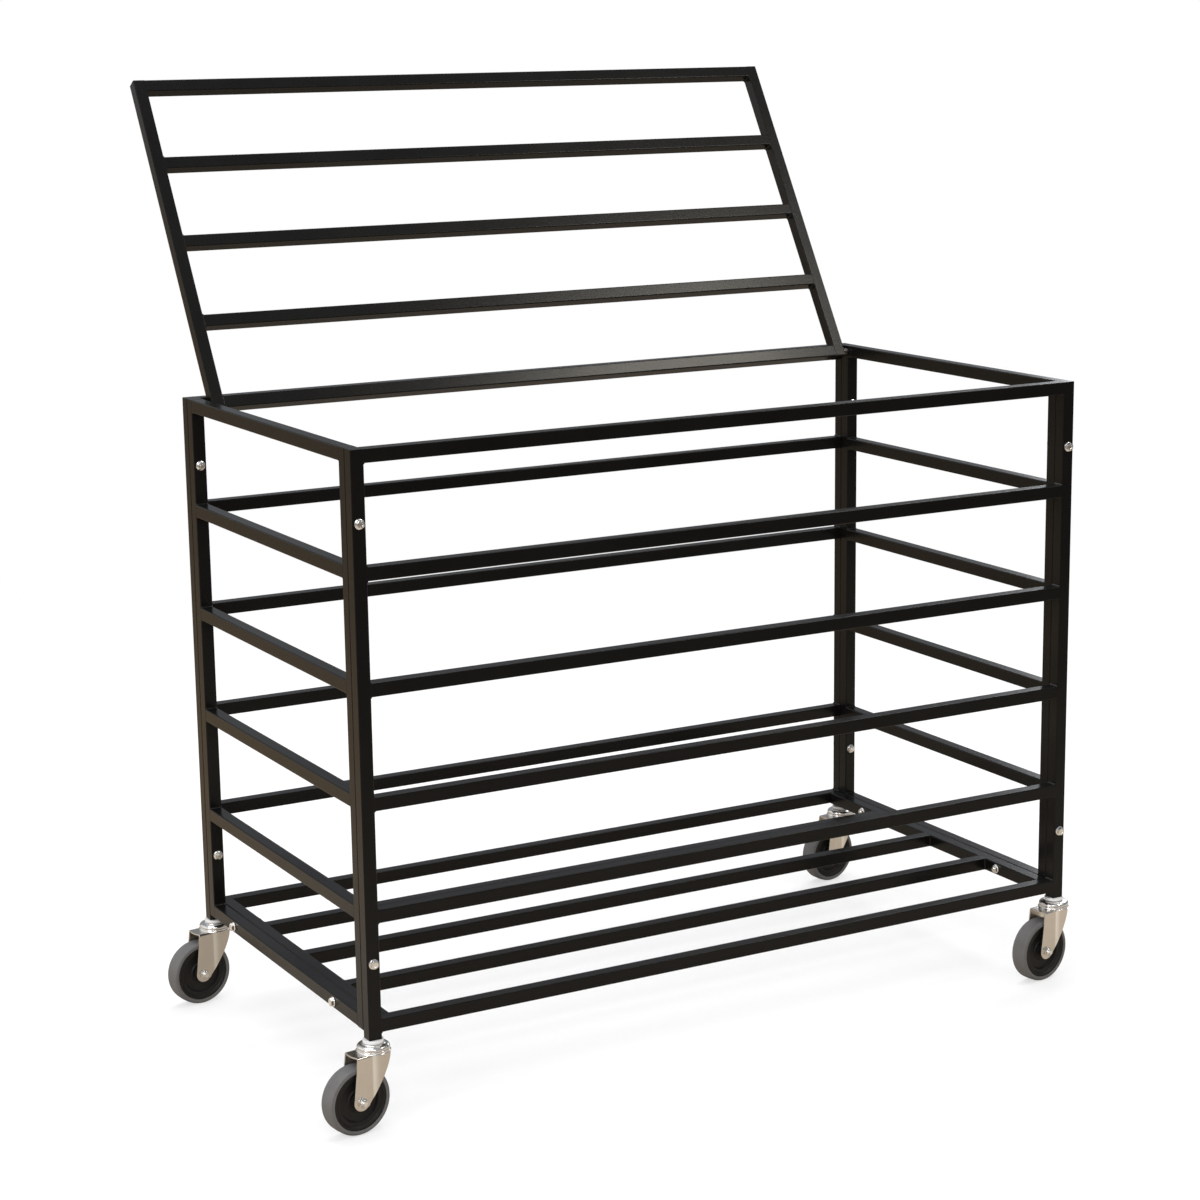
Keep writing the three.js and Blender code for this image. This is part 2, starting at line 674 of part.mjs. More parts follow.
// The origin is on the floor, below the middle of the cart's box with the lid open
cart.updateMatrixWorld(true);
const bounds = new THREE.Box3().setFromObject(cart, true);
const middle = bounds.getCenter(new THREE.Vector3());
cart.position.set(-middle.x, -middle.y, -bounds.min.z);
cart.updateMatrixWorld(true);

export default cart;
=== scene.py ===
import json
import math

import bmesh
import bpy
import numpy as np
from mathutils import Matrix, Vector


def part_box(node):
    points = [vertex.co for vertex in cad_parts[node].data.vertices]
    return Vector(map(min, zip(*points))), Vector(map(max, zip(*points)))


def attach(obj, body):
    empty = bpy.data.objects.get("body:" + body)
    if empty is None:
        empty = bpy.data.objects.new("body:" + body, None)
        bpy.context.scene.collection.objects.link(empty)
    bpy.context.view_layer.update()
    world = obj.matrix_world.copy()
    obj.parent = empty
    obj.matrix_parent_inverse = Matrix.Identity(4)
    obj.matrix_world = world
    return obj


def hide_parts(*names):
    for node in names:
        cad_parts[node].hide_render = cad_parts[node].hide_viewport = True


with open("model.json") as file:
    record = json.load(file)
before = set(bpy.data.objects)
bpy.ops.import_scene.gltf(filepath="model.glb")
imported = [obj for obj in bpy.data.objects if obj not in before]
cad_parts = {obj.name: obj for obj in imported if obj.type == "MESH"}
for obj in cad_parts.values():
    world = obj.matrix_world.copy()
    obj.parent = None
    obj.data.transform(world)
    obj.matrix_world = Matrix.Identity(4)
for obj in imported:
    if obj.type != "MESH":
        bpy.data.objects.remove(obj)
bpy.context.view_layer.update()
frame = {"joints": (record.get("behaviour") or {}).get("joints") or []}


# The photographer's view. The cart stands on the studio floor and is seen from its front left,
# from above its top rails, through a long lens. The place is in metres from the corner where the
# front and the left top rails meet.
front_low, front_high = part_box("front_panel")
cage_corner = Vector((front_low.x, front_low.y, front_high.z))
VIEW_FROM_CORNER = Vector((-1.4473, -3.2911, 0.5546))
VIEW_HEADING_DEG = 29.06
VIEW_DROP_DEG = 12.07
VIEW_TILT_DEG = -0.784
FOCAL_PIXELS = 2690.5
PICTURE_PIXELS = 1200
SENSOR_MM = 36.0

camera = bpy.data.objects.new("camera", bpy.data.cameras.new("camera"))
bpy.context.scene.collection.objects.link(camera)
camera.data.sensor_width = SENSOR_MM
camera.data.lens = SENSOR_MM * FOCAL_PIXELS / PICTURE_PIXELS
camera.data.clip_end = 50.0
camera.matrix_world = (
    Matrix.Translation(cage_corner + VIEW_FROM_CORNER)
    @ Matrix.Rotation(-math.radians(VIEW_HEADING_DEG), 4, "Z")
    @ Matrix.Rotation(math.radians(90.0 - VIEW_DROP_DEG), 4, "X")
    @ Matrix.Rotation(math.radians(VIEW_TILT_DEG), 4, "Z")
)
bpy.context.scene.camera = camera
bpy.context.scene.view_settings.view_transform = "Standard"


# Floor and studio light. The floor is a plain pale sweep under the cart, lit by a wide soft lamp
# overhead and by softer ones in front and at the sides, as a furniture studio does it. The small
# lamp at the front right shines in the lid. Gloss shows a warm floor and a white wall at the left.


class Value:
    """A number or a colour that varies, held by the output of a shader node. + - * and / on it
    add a Math node, and so do a plain number plus, minus or times it."""

    def __init__(self, finish, socket):
        self.finish = finish
        self.socket = socket

    def other(self, name):
        """Another output of the same node."""
        return Value(self.finish, self.socket.node.outputs[name])

    def math(self, operation, first, second):
        """The sum, difference, product or quotient of two values or numbers."""
        return self.finish.node("Math", {0: first, 1: second}, operation=operation)

    def __add__(self, second):
        return self.math("ADD", self, second)

    def __sub__(self, second):
        return self.math("SUBTRACT", self, second)

    def __rsub__(self, first):
        return self.math("SUBTRACT", first, self)

    def __mul__(self, second):
        return self.math("MULTIPLY", self, second)

    def __truediv__(self, second):
        return self.math("DIVIDE", self, second)

    __radd__ = __add__
    __rmul__ = __mul__


class Finish:
    """A material or a world, written as a tree of shader nodes."""

    def __init__(self, tree):
        self.tree = tree
        tree.nodes.clear()

    def node(self, kind, inputs=None, output=0, **settings):
        """A node of one kind: its settings are set first, then its inputs by name or number."""
        made = self.tree.nodes.new(f"ShaderNode{kind}")
        for name, setting in settings.items():
            setattr(made, name, setting)
        for name, given in (inputs or {}).items():
            if isinstance(given, Value):
                self.tree.links.new(given.socket, made.inputs[name])
            else:
                made.inputs[name].default_value = given
        return Value(self, made.outputs[output]) if made.outputs else None

    def mixed(self, share, first, second):
        """A colour between two, by a share from 0 to 1."""
        return self.node("Mix", {0: share, 6: first, 7: second}, 2, data_type="RGBA")

    def fade(self, value, start, over):
        """How far a value is past a start: 0 before it, rising evenly to 1 over a stretch."""
        return self.node("Clamp", {0: (value - start) / over})

    def place(self):
        """The place on the object, in metres."""
        return self.node("TexCoord", {}, "Object")

    def noise(self, swells, detail=2.0, roughness=0.5, place=None):
        """Soft noise from 0 to 1 over the object, with so many swells to the metre."""
        return self.node("TexNoise", {
            "Vector": place or self.place(), "Scale": swells, "Detail": detail,
            "Roughness": roughness})

    def bump(self, height, strength):
        """A bumped normal, from a height in metres."""
        return self.node("Bump", {"Height": height, "Distance": 1.0, "Strength": strength})

    def surface(self, inputs):
        """The shader that a solid material ends in, with what its sockets are given."""
        shader = self.node("BsdfPrincipled", inputs)
        self.node("OutputMaterial", {0: shader})


def material(name):
    """A new material, and the finish that writes its nodes."""
    made = bpy.data.materials.new(name)
    made.use_nodes = True
    return made, Finish(made.node_tree)


SKY_AMBIENT = (0.62, 0.63, 0.66, 1.0)
SKY_IN_GLOSS = (0.26, 0.27, 0.29, 1.0)
WALL_IN_GLOSS = (0.90, 0.90, 0.88, 1.0)
WALL_TOWARDS = (-0.857, 0.470, 0.209)
WALL_EDGE = (0.66, 0.20)
WHITE = (1.0, 1.0, 1.0, 1.0)

world = bpy.data.worlds.new("studio")
bpy.context.scene.world = world
world.use_nodes = True
studio = Finish(world.node_tree)
ray = studio.node("LightPath", {}, "Is Camera Ray")
gloss_or_glass = ray.other("Is Glossy Ray") + ray.other("Is Transmission Ray")
towards_wall = studio.node(
    "VectorMath", {0: studio.node("TexCoord"), 1: WALL_TOWARDS}, 1, operation="DOT_PRODUCT")
wall = studio.fade(towards_wall, *WALL_EDGE)
in_gloss = studio.mixed(wall, SKY_IN_GLOSS, WALL_IN_GLOSS)
room = studio.mixed(gloss_or_glass, SKY_AMBIENT, in_gloss)
backdrop = studio.node("Background", {0: studio.mixed(ray, room, WHITE)})
studio.node("OutputWorld", {0: backdrop})

FLOOR_REACH = 30.0
FLOOR_PALE = (0.98, 0.98, 0.98, 1.0)
# The floor that only gloss and bounced light meet, by where it lies: its own warm colour near the
# cart, painted shade that darkens it far ahead, and painted shadow of the cart behind it, darkest
# on the right
FLOOR_COLOUR = (0.54, 0.47, 0.385, 1.0)
FLOOR_FAR_PAINTED_SHADE = (0.16, 0.135, 0.11, 1.0)
FLOOR_LEFT_COLOUR = (0.48, 0.36, 0.235, 1.0)
FLOOR_BEHIND_PAINTED_SHADOW = (0.20, 0.16, 0.12, 1.0)
FLOOR_SHADOW_SHARE = 0.4
# Where each change of the floor starts, and how far it takes
FLOOR_AWAY = (1.2, 2.5)
FLOOR_FORWARD = (-3.4, 2.6)
FLOOR_BEHIND = (0.1, 1.2)
FLOOR_RIGHT = (-0.9, 0.8)

floor_mesh = bpy.data.meshes.new("floor")
floor_mesh.from_pydata(
    [(x * FLOOR_REACH, y * FLOOR_REACH, 0.0) for x, y in ((-1, -1), (1, -1), (1, 1), (-1, 1))],
    [], [(0, 1, 2, 3)])
floor = bpy.data.objects.new("floor", floor_mesh)
bpy.context.scene.collection.objects.link(floor)
floor_material, finish = material("pale_floor")
floor_mesh.materials.append(floor_material)
ray = finish.node("LightPath", {}, "Is Camera Ray")
glow = finish.node("Emission", {"Color": WHITE, "Strength": 1.0})
pale = finish.node("BsdfDiffuse", {"Color": FLOOR_PALE})
away = finish.node("VectorMath", {0: finish.place()}, 1, operation="LENGTH")
near = 1.0 - finish.fade(away, *FLOOR_AWAY)
shadowed = finish.node("MixShader", {0: near * FLOOR_SHADOW_SHARE, 1: glow, 2: pale})
# Painted shade and shadow: the floor darkens far ahead, and behind the cart, most of all to the
# right
deep = finish.node("SeparateXYZ", {0: finish.place()}, "Y")
lit = finish.fade(deep, *FLOOR_FORWARD)
behind = finish.fade(deep, *FLOOR_BEHIND)
rightwards = finish.fade(deep.other("X"), *FLOOR_RIGHT)
back_half = finish.mixed(rightwards, FLOOR_LEFT_COLOUR, FLOOR_BEHIND_PAINTED_SHADOW)
front_half = finish.mixed(lit, FLOOR_FAR_PAINTED_SHADE, FLOOR_COLOUR)
warm = finish.node("BsdfDiffuse", {
    "Color": finish.mixed(behind, front_half, back_half)})
seen = finish.node("MixShader", {0: ray, 1: warm, 2: shadowed})
finish.node("OutputMaterial", {0: seen})


def soft_lamp(name, place, aim, width, depth, watts, colour):
    """A rectangular soft lamp at one place, turned to face another."""
    lamp = bpy.data.lights.new(name, "AREA")
    lamp.shape = "RECTANGLE"
    lamp.size = width
    lamp.size_y = depth
    lamp.energy = watts
    lamp.color = colour
    holder = bpy.data.objects.new(name, lamp)
    bpy.context.scene.collection.objects.link(holder)
    holder.location = place
    facing = Vector(aim) - Vector(place)
    holder.rotation_euler = facing.to_track_quat("-Z", "Y").to_euler()


soft_lamp("overhead_lamp", (-0.3, 0.7, 3.4), (0.0, 0.2, 0.4), 3.2, 1.8, 68.0, (1.0, 0.99, 0.97))
soft_lamp("left_lamp", (-3.6, -1.6, 2.2), (0.0, 0.0, 0.5), 1.6, 2.2, 50.0, (1.0, 0.98, 0.95))
soft_lamp("front_lamp", (-2.2, -4.0, 3.3), (0.0, 0.0, 0.4), 2.2, 1.4, 54.0, (1.0, 0.99, 0.97))
soft_lamp("lid_lamp", (1.79, -1.50, 3.0), (0.4, 0.2, 0.9), 0.75, 0.55, 22.0, (1.0, 0.95, 0.84))
soft_lamp("right_lamp", (3.4, 2.2, 2.4), (0.0, 0.0, 0.5), 1.2, 2.2, 40.0, (0.96, 0.98, 1.0))


# Square tube frames. The front, back and end panels and the floor are drawn square steel tube,
# cut to length, welded at every joint and powder coated black as one frame.

TUBE = 0.020
TUBE_CORNER = 0.0016
TUBE_WALL = 0.0015
TUBE_END_ROUNDING = 0.0008
OPEN_END_DEPTH = 0.080
OPEN_END_LIP = 0.00025
FLAT_MARGIN = 0.00025
CORNER_STEPS = 5
FOOT_LENGTH = 0.0099
RAIL_PITCH = 0.163
RAIL_PITCHES = 4
FLOOR_BARS = 3
PANEL_GAP = 0.0003
X, Y, Z = Vector((1, 0, 0)), Vector((0, 1, 0)), Vector((0, 0, 1))


def rounded_outline(width, height, corner):
    """Points round a rectangle with round corners, and the outward direction at each. Each corner
    is a quarter circle, cos t and sin t times its radius from its centre, and the flats between
    get a point a little way in from either end, so that they shade flat."""
    turn = np.linspace(0.0, math.pi / 2, CORNER_STEPS + 1)
    directions, points = [], []
    for quarter, (side_x, side_y) in enumerate(((1, 1), (-1, 1), (-1, -1), (1, -1))):
        angle = turn + quarter * math.pi / 2
        across = np.stack([np.cos(angle), np.sin(angle)], 1)
        centre = np.array([side_x * (width / 2 - corner), side_y * (height / 2 - corner)])
        arc = centre + corner * across
        ahead = np.stack([-across[:, 1], across[:, 0]], 1) * FLAT_MARGIN
        points.append(np.vstack([arc[:1] - ahead[:1], arc, arc[-1:] + ahead[-1:]]))
        directions.append(np.vstack([across[:1], across, across[-1:]]))
    return np.vstack(points), np.vstack(directions)


def laid(outline, across, up):
    """A flat outline laid in space: its first measure times one direction, plus its second times
    the other."""
    return outline[:, :1] * np.array(across) + outline[:, 1:] * np.array(up)


def carried(outline, directions, rows, start, along, across, up):
    """A profile carried along a straight path. Each row is a distance along the path and how far
    the outline is drawn in there, and None draws it in to its middle point."""
    rings = []
    for distance, inset in rows:
        ring = np.zeros_like(outline) if inset is None else outline - inset * directions
        rings.append(np.array(start) + distance * np.array(along) + laid(ring, across, up))
    return np.stack(rings)


def end_rows(kind, distance, inward):
    """The rows of one end of a tube, from the middle of its face outwards. A butt end is hidden
    by a weld, a capped end has a quarter round edge, and an open end shows the bore."""
    if kind == "butt":
        return [(distance, None), (distance, 0.0)]
    if kind == "capped":
        turn = np.linspace(0.0, math.pi / 2, 4)
        edge = TUBE_END_ROUNDING
        rounded = [(distance + inward * edge * (1 - math.sin(t)), edge * (1 - math.cos(t)))
                   for t in turn[::-1]]
        margin = (rounded[0][0], edge + FLAT_MARGIN)
        return [(distance, None), margin, *rounded,
                (distance + inward * (edge + FLAT_MARGIN), 0.0)]
    depth, lip = distance + inward * OPEN_END_DEPTH, OPEN_END_LIP
    return [(depth, None), (depth, TUBE_WALL), (distance + inward * lip, TUBE_WALL),
            (distance, TUBE_WALL - lip), (distance, lip), (distance + inward * lip, 0.0),
            (distance + inward * 2 * lip, 0.0)]


def squarely(along):
    """The directions of a tube's two sides, given the one it runs in."""
    across = Z if abs(along.z) < 0.5 else X
    return across, along.cross(across)


def square_tube(start, end, first="butt", last="butt"):
    """One square tube from start to end along X, Y or Z, as rows of points round its outline."""
    length = (end - start).length
    along = (end - start) / length
    outline, directions = rounded_outline(TUBE, TUBE, TUBE_CORNER)
    rows = end_rows(first, 0.0, 1.0) + end_rows(last, length, -1.0)[::-1]
    return carried(outline, directions, rows, start, along, *squarely(along))


WELD_THROAT = 0.0032
WELD_SINK = 0.0011
WELD_FLUSH_DEPTH = 0.0012
WELD_FLUSH_HALF = 0.0016
WELD_FLUSH_SINK = 0.00105
WELD_RIPPLE = 0.0021
WELD_RIPPLE_SHARE = 0.05
WELD_FLUSH_GAIN = 1.6
WELD_COLUMNS = 14


def weld(place, outwards, flush):
    """The bead round a rail where it butts against another tube. Its path is the rail's outline,
    and its section an ellipse: a full fillet on the sides that stand clear, and a low bead ground
    level on the flush sides, given by their directions. Small ripples follow the path. The last
    ring is the first again, which closes it."""
    across, up = squarely(outwards)
    outline, directions = rounded_outline(TUBE, TUBE, TUBE_CORNER)
    sides = laid(directions, across, up)
    level = np.zeros(len(sides))
    for direction in flush:
        level = np.maximum(level, np.clip(sides @ np.array(direction), 0.0, 1.0) ** 2)
    level = np.minimum(level * WELD_FLUSH_GAIN, 1.0)
    steps = np.linalg.norm(np.diff(outline, axis=0), axis=1)
    travelled = np.concatenate([[0.0], np.cumsum(steps)])
    ripple = 1.0 + WELD_RIPPLE_SHARE * np.sin(2 * math.pi * travelled / WELD_RIPPLE)
    fillet = 1.0 - level
    high = (fillet * WELD_THROAT + level * WELD_FLUSH_DEPTH) * ripple
    wide = fillet * WELD_THROAT + level * WELD_FLUSH_HALF
    sink = fillet * WELD_SINK + level * WELD_FLUSH_SINK
    shift = -fillet * WELD_SINK - level * TUBE_CORNER / 2
    turn = np.linspace(0.0, 2 * math.pi, WELD_COLUMNS, endpoint=False)
    base = np.array(place) + laid(outline, across, up)
    rise = high[:, None] * np.sin(turn) - sink[:, None]
    run = wide[:, None] * np.cos(turn) + shift[:, None]
    bead = (base[:, None, :] + rise[:, :, None] * sides[:, None, :]
            + run[:, :, None] * np.array(outwards))
    return np.concatenate([bead, bead[:1]])


def welded_rail(low, high, flush):
    """A tube that butts against others at both its ends, and the bead round either end."""
    along = (high - low).normalized()
    return [square_tube(low, high), weld(low, along, flush), weld(high, -along, flush)]


SMOOTH_BELOW_DEG = 34.0
MERGED_WITHIN = 1e-7
EDGE_SHORTEST = 1e-8


def grid_faces(rows, columns, first):
    """The four corners of every cell of a grid of points, which wraps round its columns."""
    row, low = np.meshgrid(np.arange(rows - 1) * columns, np.arange(columns), indexing="ij")
    high = (low + 1) % columns
    corners = [row + low, row + high, row + columns + high, row + columns + low]
    return first + np.stack([corner.ravel() for corner in corners], 1)


def moved(grid, matrix):
    """A grid of points after a turn and a shift, given as one matrix."""
    change = np.array(matrix)
    return grid @ change[:3, :3].T + change[:3, 3]


def piece(name, grids, finish, body, replaced=(), stand=None):
    """One finished piece from grids of points, each wrapped round its columns, moved to where it
    stands. Points that meet are merged, so a row drawn in to one point becomes a pole, and every
    face is turned outwards."""
    points, faces, count = [], [], 0
    for grid in grids:
        rows, columns = grid.shape[:2]
        points.append(grid.reshape(-1, 3))
        faces.append(grid_faces(rows, columns, count))
        count += rows * columns
    points, faces = np.vstack(points), np.vstack(faces)
    if stand is not None:
        points = moved(points, stand)
    mesh = bpy.data.meshes.new(name)
    mesh.from_pydata(points, [], faces)
    work = bmesh.new()
    work.from_mesh(mesh)
    bmesh.ops.remove_doubles(work, verts=work.verts, dist=MERGED_WITHIN)
    bmesh.ops.dissolve_degenerate(work, edges=work.edges, dist=EDGE_SHORTEST)
    bmesh.ops.recalc_face_normals(work, faces=work.faces)
    work.to_mesh(mesh)
    work.free()
    mesh.shade_smooth()
    mesh.set_sharp_from_angle(angle=math.radians(SMOOTH_BELOW_DEG))
    mesh.materials.append(finish)
    made = bpy.data.objects.new(name, mesh)
    bpy.context.scene.collection.objects.link(made)
    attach(made, body)
    if replaced:
        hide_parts(*replaced)
    return made


# The powder coat is a little uneven, like very fine orange peel, and catches faint dust.
PAINT_BLACK = (0.0042, 0.0040, 0.0038, 1.0)
PAINT_DUSTY = (0.0100, 0.0094, 0.0086, 1.0)
PAINT_ROUGHNESS = 0.19
DUST_GAIN = 1.6
DUST_LOSS = 0.5
PEEL_SWELLS = 420.0
PEEL_HEIGHT = 0.00003
FINE_PEEL_SHARE = 0.35

paint, finish = material("black_powder_coat")
drift = finish.noise(9.0, detail=4.0, roughness=0.6)
speckle = finish.noise(900.0, detail=1.0)
dust = (drift * DUST_GAIN - DUST_LOSS) * speckle
peel = (finish.noise(PEEL_SWELLS)
        + FINE_PEEL_SHARE * finish.noise(4 * PEEL_SWELLS, detail=1.0))
finish.surface({
    "Base Color": finish.mixed(dust, PAINT_BLACK, PAINT_DUSTY),
    "Roughness": PAINT_ROUGHNESS + 0.07 * drift + 0.03 * speckle,
    "Specular IOR Level": 0.2,
    "Normal": finish.bump(peel * PEEL_HEIGHT, 0.6),
})

half = TUBE / 2
cage_low, cage_high = front_low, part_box("back_panel")[1]
bottom_rail = cage_low.z + FOOT_LENGTH + half
rail_heights = [cage_high.z - half - count * RAIL_PITCH for count in range(RAIL_PITCHES + 1)]
rail_heights.append(bottom_rail)


def framed(posts, foot, flush_below):
    """The tubes and welds of a panel. Its posts are two points on the floor plan, with the rails
    between them, from the top down. A weld is ground level on the panel's faces and on its top,
    and on its underside where that is flush."""
    grids = []
    along = (posts[1] - posts[0]).normalized()
    face = along.cross(Z)
    for post in posts:
        top = post + rail_heights[0] * Z + half * Z
        grids.append(square_tube(post + foot * Z, top, "open", "capped"))
    for height in rail_heights:
        low = posts[0] + along * half + height * Z
        high = posts[1] - along * half + height * Z
        flush = [face, -face]
        if height == rail_heights[0]:
            flush.append(Z)
        if height == rail_heights[-1] and flush_below:
            flush.append(-Z)
        grids += welded_rail(low, high, flush)
    return grids


TAB_WIDTH = 0.030
TAB_SHEET = 0.003
TAB_REACH = 0.032
TAB_UPSTAND = 0.012
TAB_BEND = 0.0035
TAB_EDGE = 0.0006
TAB_PLACE_SHARE = 0.3


def rest_tab(middle_x, inner_face):
    """A strip bent into an L behind the top rail. Its section, a rounded rectangle, is carried up
    the rail's face, round a quarter circle and out along the level leg."""
    outline, directions = rounded_outline(TAB_WIDTH, TAB_SHEET, TAB_EDGE)
    thick = TAB_SHEET / 2
    bend = TAB_BEND + thick
    level = rail_heights[0] - half - PANEL_GAP - thick
    turn = np.linspace(0.0, math.pi / 2, 9)
    rise = level + bend + thick + TAB_UPSTAND - TAB_BEND
    corner_y = inner_face + thick + bend
    path = [(inner_face + thick, rise, 0.0)]
    path += [(corner_y - bend * math.cos(t), level + bend - bend * math.sin(t), t) for t in turn]
    path.append((inner_face + TAB_REACH, level, math.pi / 2))
    rings = []
    for count, (y, z, lean) in enumerate(path):
        ring = laid(outline, X, (0.0, -math.cos(lean), -math.sin(lean)))
        centre = np.array([middle_x, y, z])
        rings.append(centre + ring)
        if count in (0, len(path) - 1):
            rings.insert(0 if count == 0 else len(rings), np.broadcast_to(centre, ring.shape))
    return np.stack(rings)


def plan(x, y):
    """A point on the floor plan."""
    return Vector((x, y, 0.0))


for name, y in (("front_panel", cage_low.y + half), ("back_panel", cage_high.y - half)):
    posts = [plan(cage_low.x + half, y), plan(cage_high.x - half, y)]
    grids = framed(posts, cage_low.z, False)
    if name == "front_panel":
        middle = (cage_low.x + cage_high.x) / 2
        spread = TAB_PLACE_SHARE * (cage_high.x - cage_low.x)
        for side in (-1, 1):
            grids.append(rest_tab(middle + side * spread, y + half))
    piece(f"{name}_frame", grids, paint, "cage", [name])

for name, x in (("left_end_panel", cage_low.x + half), ("right_end_panel", cage_high.x - half)):
    low_y = cage_low.y + TUBE + PANEL_GAP + half
    high_y = cage_high.y - TUBE - PANEL_GAP - half
    grids = framed([plan(x, low_y), plan(x, high_y)], bottom_rail - half, True)
    piece(f"{name}_frame", grids, paint, "cage", [name])

grids = []
cross_x = cage_low.x + TUBE + PANEL_GAP + half
cross_high_x = cage_high.x - TUBE - PANEL_GAP - half
inner_low, inner_high = cage_low.y + TUBE, cage_high.y - TUBE
for x in (cross_x, cross_high_x):
    start = Vector((x, inner_low + PANEL_GAP, bottom_rail))
    end = Vector((x, inner_high - PANEL_GAP, bottom_rail))
    grids.append(square_tube(start, end, "open", "open"))
floor_gap = (inner_high - inner_low - FLOOR_BARS * TUBE) / (FLOOR_BARS + 1)
for count in range(FLOOR_BARS):
    y = inner_low + (count + 1) * floor_gap + (count + 0.5) * TUBE
    low = Vector((cross_x + half, y, bottom_rail))
    high = Vector((cross_high_x - half, y, bottom_rail))
    grids += welded_rail(low, high, [Z, -Z])
piece("floor_frame_tubes", grids, paint, "cage", ["floor_frame"])


# Lid. Two side bars and five rails of the same square tube, welded and coated like the cage. It
# turns about two pins near its back edge and leans open on the back top rail.

LID_LEAN_DEG = 30.8
LID_RAILS = 5

joints = {joint["name"]: joint for joint in frame["joints"]}
pivot = Vector(joints["lid_hinge"]["pos_m"])
lid_low, lid_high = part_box("lid")
lean = math.radians(LID_LEAN_DEG)
lid_depth = (lid_high.z - lid_low.z - TUBE * math.sin(lean)) / math.cos(lean)
lid_pitch = (lid_depth - TUBE) / (LID_RAILS - 1)
open_lid = Matrix.Translation(pivot) @ Matrix.Rotation(-(math.pi / 2 + lean), 4, "X")

# The lid's middle is over the pivot, so its tubes are laid out flat about X zero
grids = []
side_x = (lid_high.x - lid_low.x) / 2 - half
for side in (-1, 1):
    start = Vector((side * side_x, half - lid_depth, 0.0))
    end = Vector((side * side_x, half, 0.0))
    grids.append(square_tube(start, end, "capped", "capped"))
for count in range(LID_RAILS):
    y = -count * lid_pitch
    low = Vector((half - side_x, y, 0.0))
    high = Vector((side_x - half, y, 0.0))
    flush = [Z, -Z]
    if count == 0:
        flush.append(Y)
    if count == LID_RAILS - 1:
        flush.append(-Y)
    grids += welded_rail(low, high, flush)
piece("lid_frame", grids, paint, "lid", ["lid"], open_lid)


# Bright fasteners. The frame bolts have hexagon heads on wide flanges, and the lid turns on two
# collared pins of dull oiled steel. Bolts and nuts are forged steel with a bright zinc plating.

BOLT_RADIUS = 0.003
BOLT_HEX = 0.011
BOLT_HEAD = 0.0045
BOLT_FLANGE_RADIUS = 0.0075
BOLT_FLANGE = 0.0014
NUT_HEIGHT = 0.005
THREAD_PITCH = 0.001
THREAD_DEPTH = 0.00035
THREAD_TURNS = 12
SHANK_INTO_HEAD = 0.0002
HEX_COLUMNS = 72
BOLT_COLUMNS = 24
CHAMFER_SLOPE = 0.5
CHAMFER_SHARE = 0.955
SHOULDER_SHARE = 0.62
POLE = 1e-9
# The share of the flange's radius, and the height
FLANGE_EDGE = ((0.93, 0.0), (0.985, 0.00012), (1.0, 0.0004), (1.0, 0.0007), (0.985, 0.00095),
               (0.93, 0.00115))
# The share of half the hexagon's width, and how far below the top
HEAD_DISH = ((0.62, 0.0), (0.52, 0.0005), (0.0, 0.0006))
ROUND_STEP_DEG = 15.0
ROUND_MARGIN = 0.12
LONGEST_ROUND = 0.49


def rounded_profile(corners):
    """A profile of radius and height through given corners, each with the radius of the circle
    that rounds it. Past each round end stands one more point, so that the flats shade flat."""
    points = []
    last = len(corners) - 1
    for count, (radius, height, round_radius) in enumerate(corners):
        corner = np.array([radius, height])
        if count in (0, last) or round_radius == 0.0:
            points.append(corner)
            continue
        before = np.array(corners[count - 1][:2]) - corner
        after = np.array(corners[count + 1][:2]) - corner
        before_length, after_length = np.linalg.norm(before), np.linalg.norm(after)
        before, after = before / before_length, after / after_length
        opening = math.acos(np.clip(before @ after, -1.0, 1.0))
        tangent = round_radius / math.tan(opening / 2)
        limit = LONGEST_ROUND * min(before_length, after_length)
        if tangent > limit:
            tangent, round_radius = limit, limit * math.tan(opening / 2)
        bisector = (before + after) / np.linalg.norm(before + after)
        centre = corner + bisector * round_radius / math.sin(opening / 2)
        start, end = corner + before * tangent, corner + after * tangent
        sweep = math.pi - opening
        steps = max(2, int(math.ceil(math.degrees(sweep) / ROUND_STEP_DEG)))
        share = np.linspace(0.0, 1.0, steps + 1)[:, None]
        arm, far = start - centre, end - centre
        arc = np.sin((1 - share) * sweep) * arm + np.sin(share * sweep) * far
        arc = centre + arc / math.sin(sweep)
        margin = ROUND_MARGIN * round_radius
        points.extend([start + before * margin, *arc, end + after * margin])
    return np.array(points)


def mirrored(side):
    """Both sides of a profile, from the far one to the near one, by its corners above zero."""
    return [*[(radius, -height, rounding) for radius, height, rounding in side[::-1]], *side]


def full_turn(columns):
    """Even angles round a circle, without the last, which is the first again."""
    return np.linspace(0.0, 2 * math.pi, columns, endpoint=False)


def about_z(radius, height, angle):
    """Points about Z: the radius times the angle's cosine and sine, and the height."""
    return np.stack(np.broadcast_arrays(
        radius * np.cos(angle), radius * np.sin(angle), height), 2)


def turned(profile, columns):
    """A profile of radius and height turned about Z."""
    return about_z(profile[:, :1], profile[:, 1:], full_turn(columns))


def hexagonal(profile, across_flats):
    """A turned profile cut by a hexagon: at each angle the radius is the smaller of the profile's
    and of the hexagon's, half its width over the cosine of the angle from the nearest flat. Rows
    with a negative radius keep their circle, as a flange does."""
    angle = full_turn(HEX_COLUMNS)
    from_flat = (angle + math.pi / 6) % (math.pi / 3) - math.pi / 6
    flat = across_flats / 2 / np.cos(from_flat)
    radius = np.abs(profile[:, :1])
    radius = np.where(profile[:, :1] < 0, radius, np.minimum(radius, flat))
    return about_z(radius, profile[:, 1:], angle)


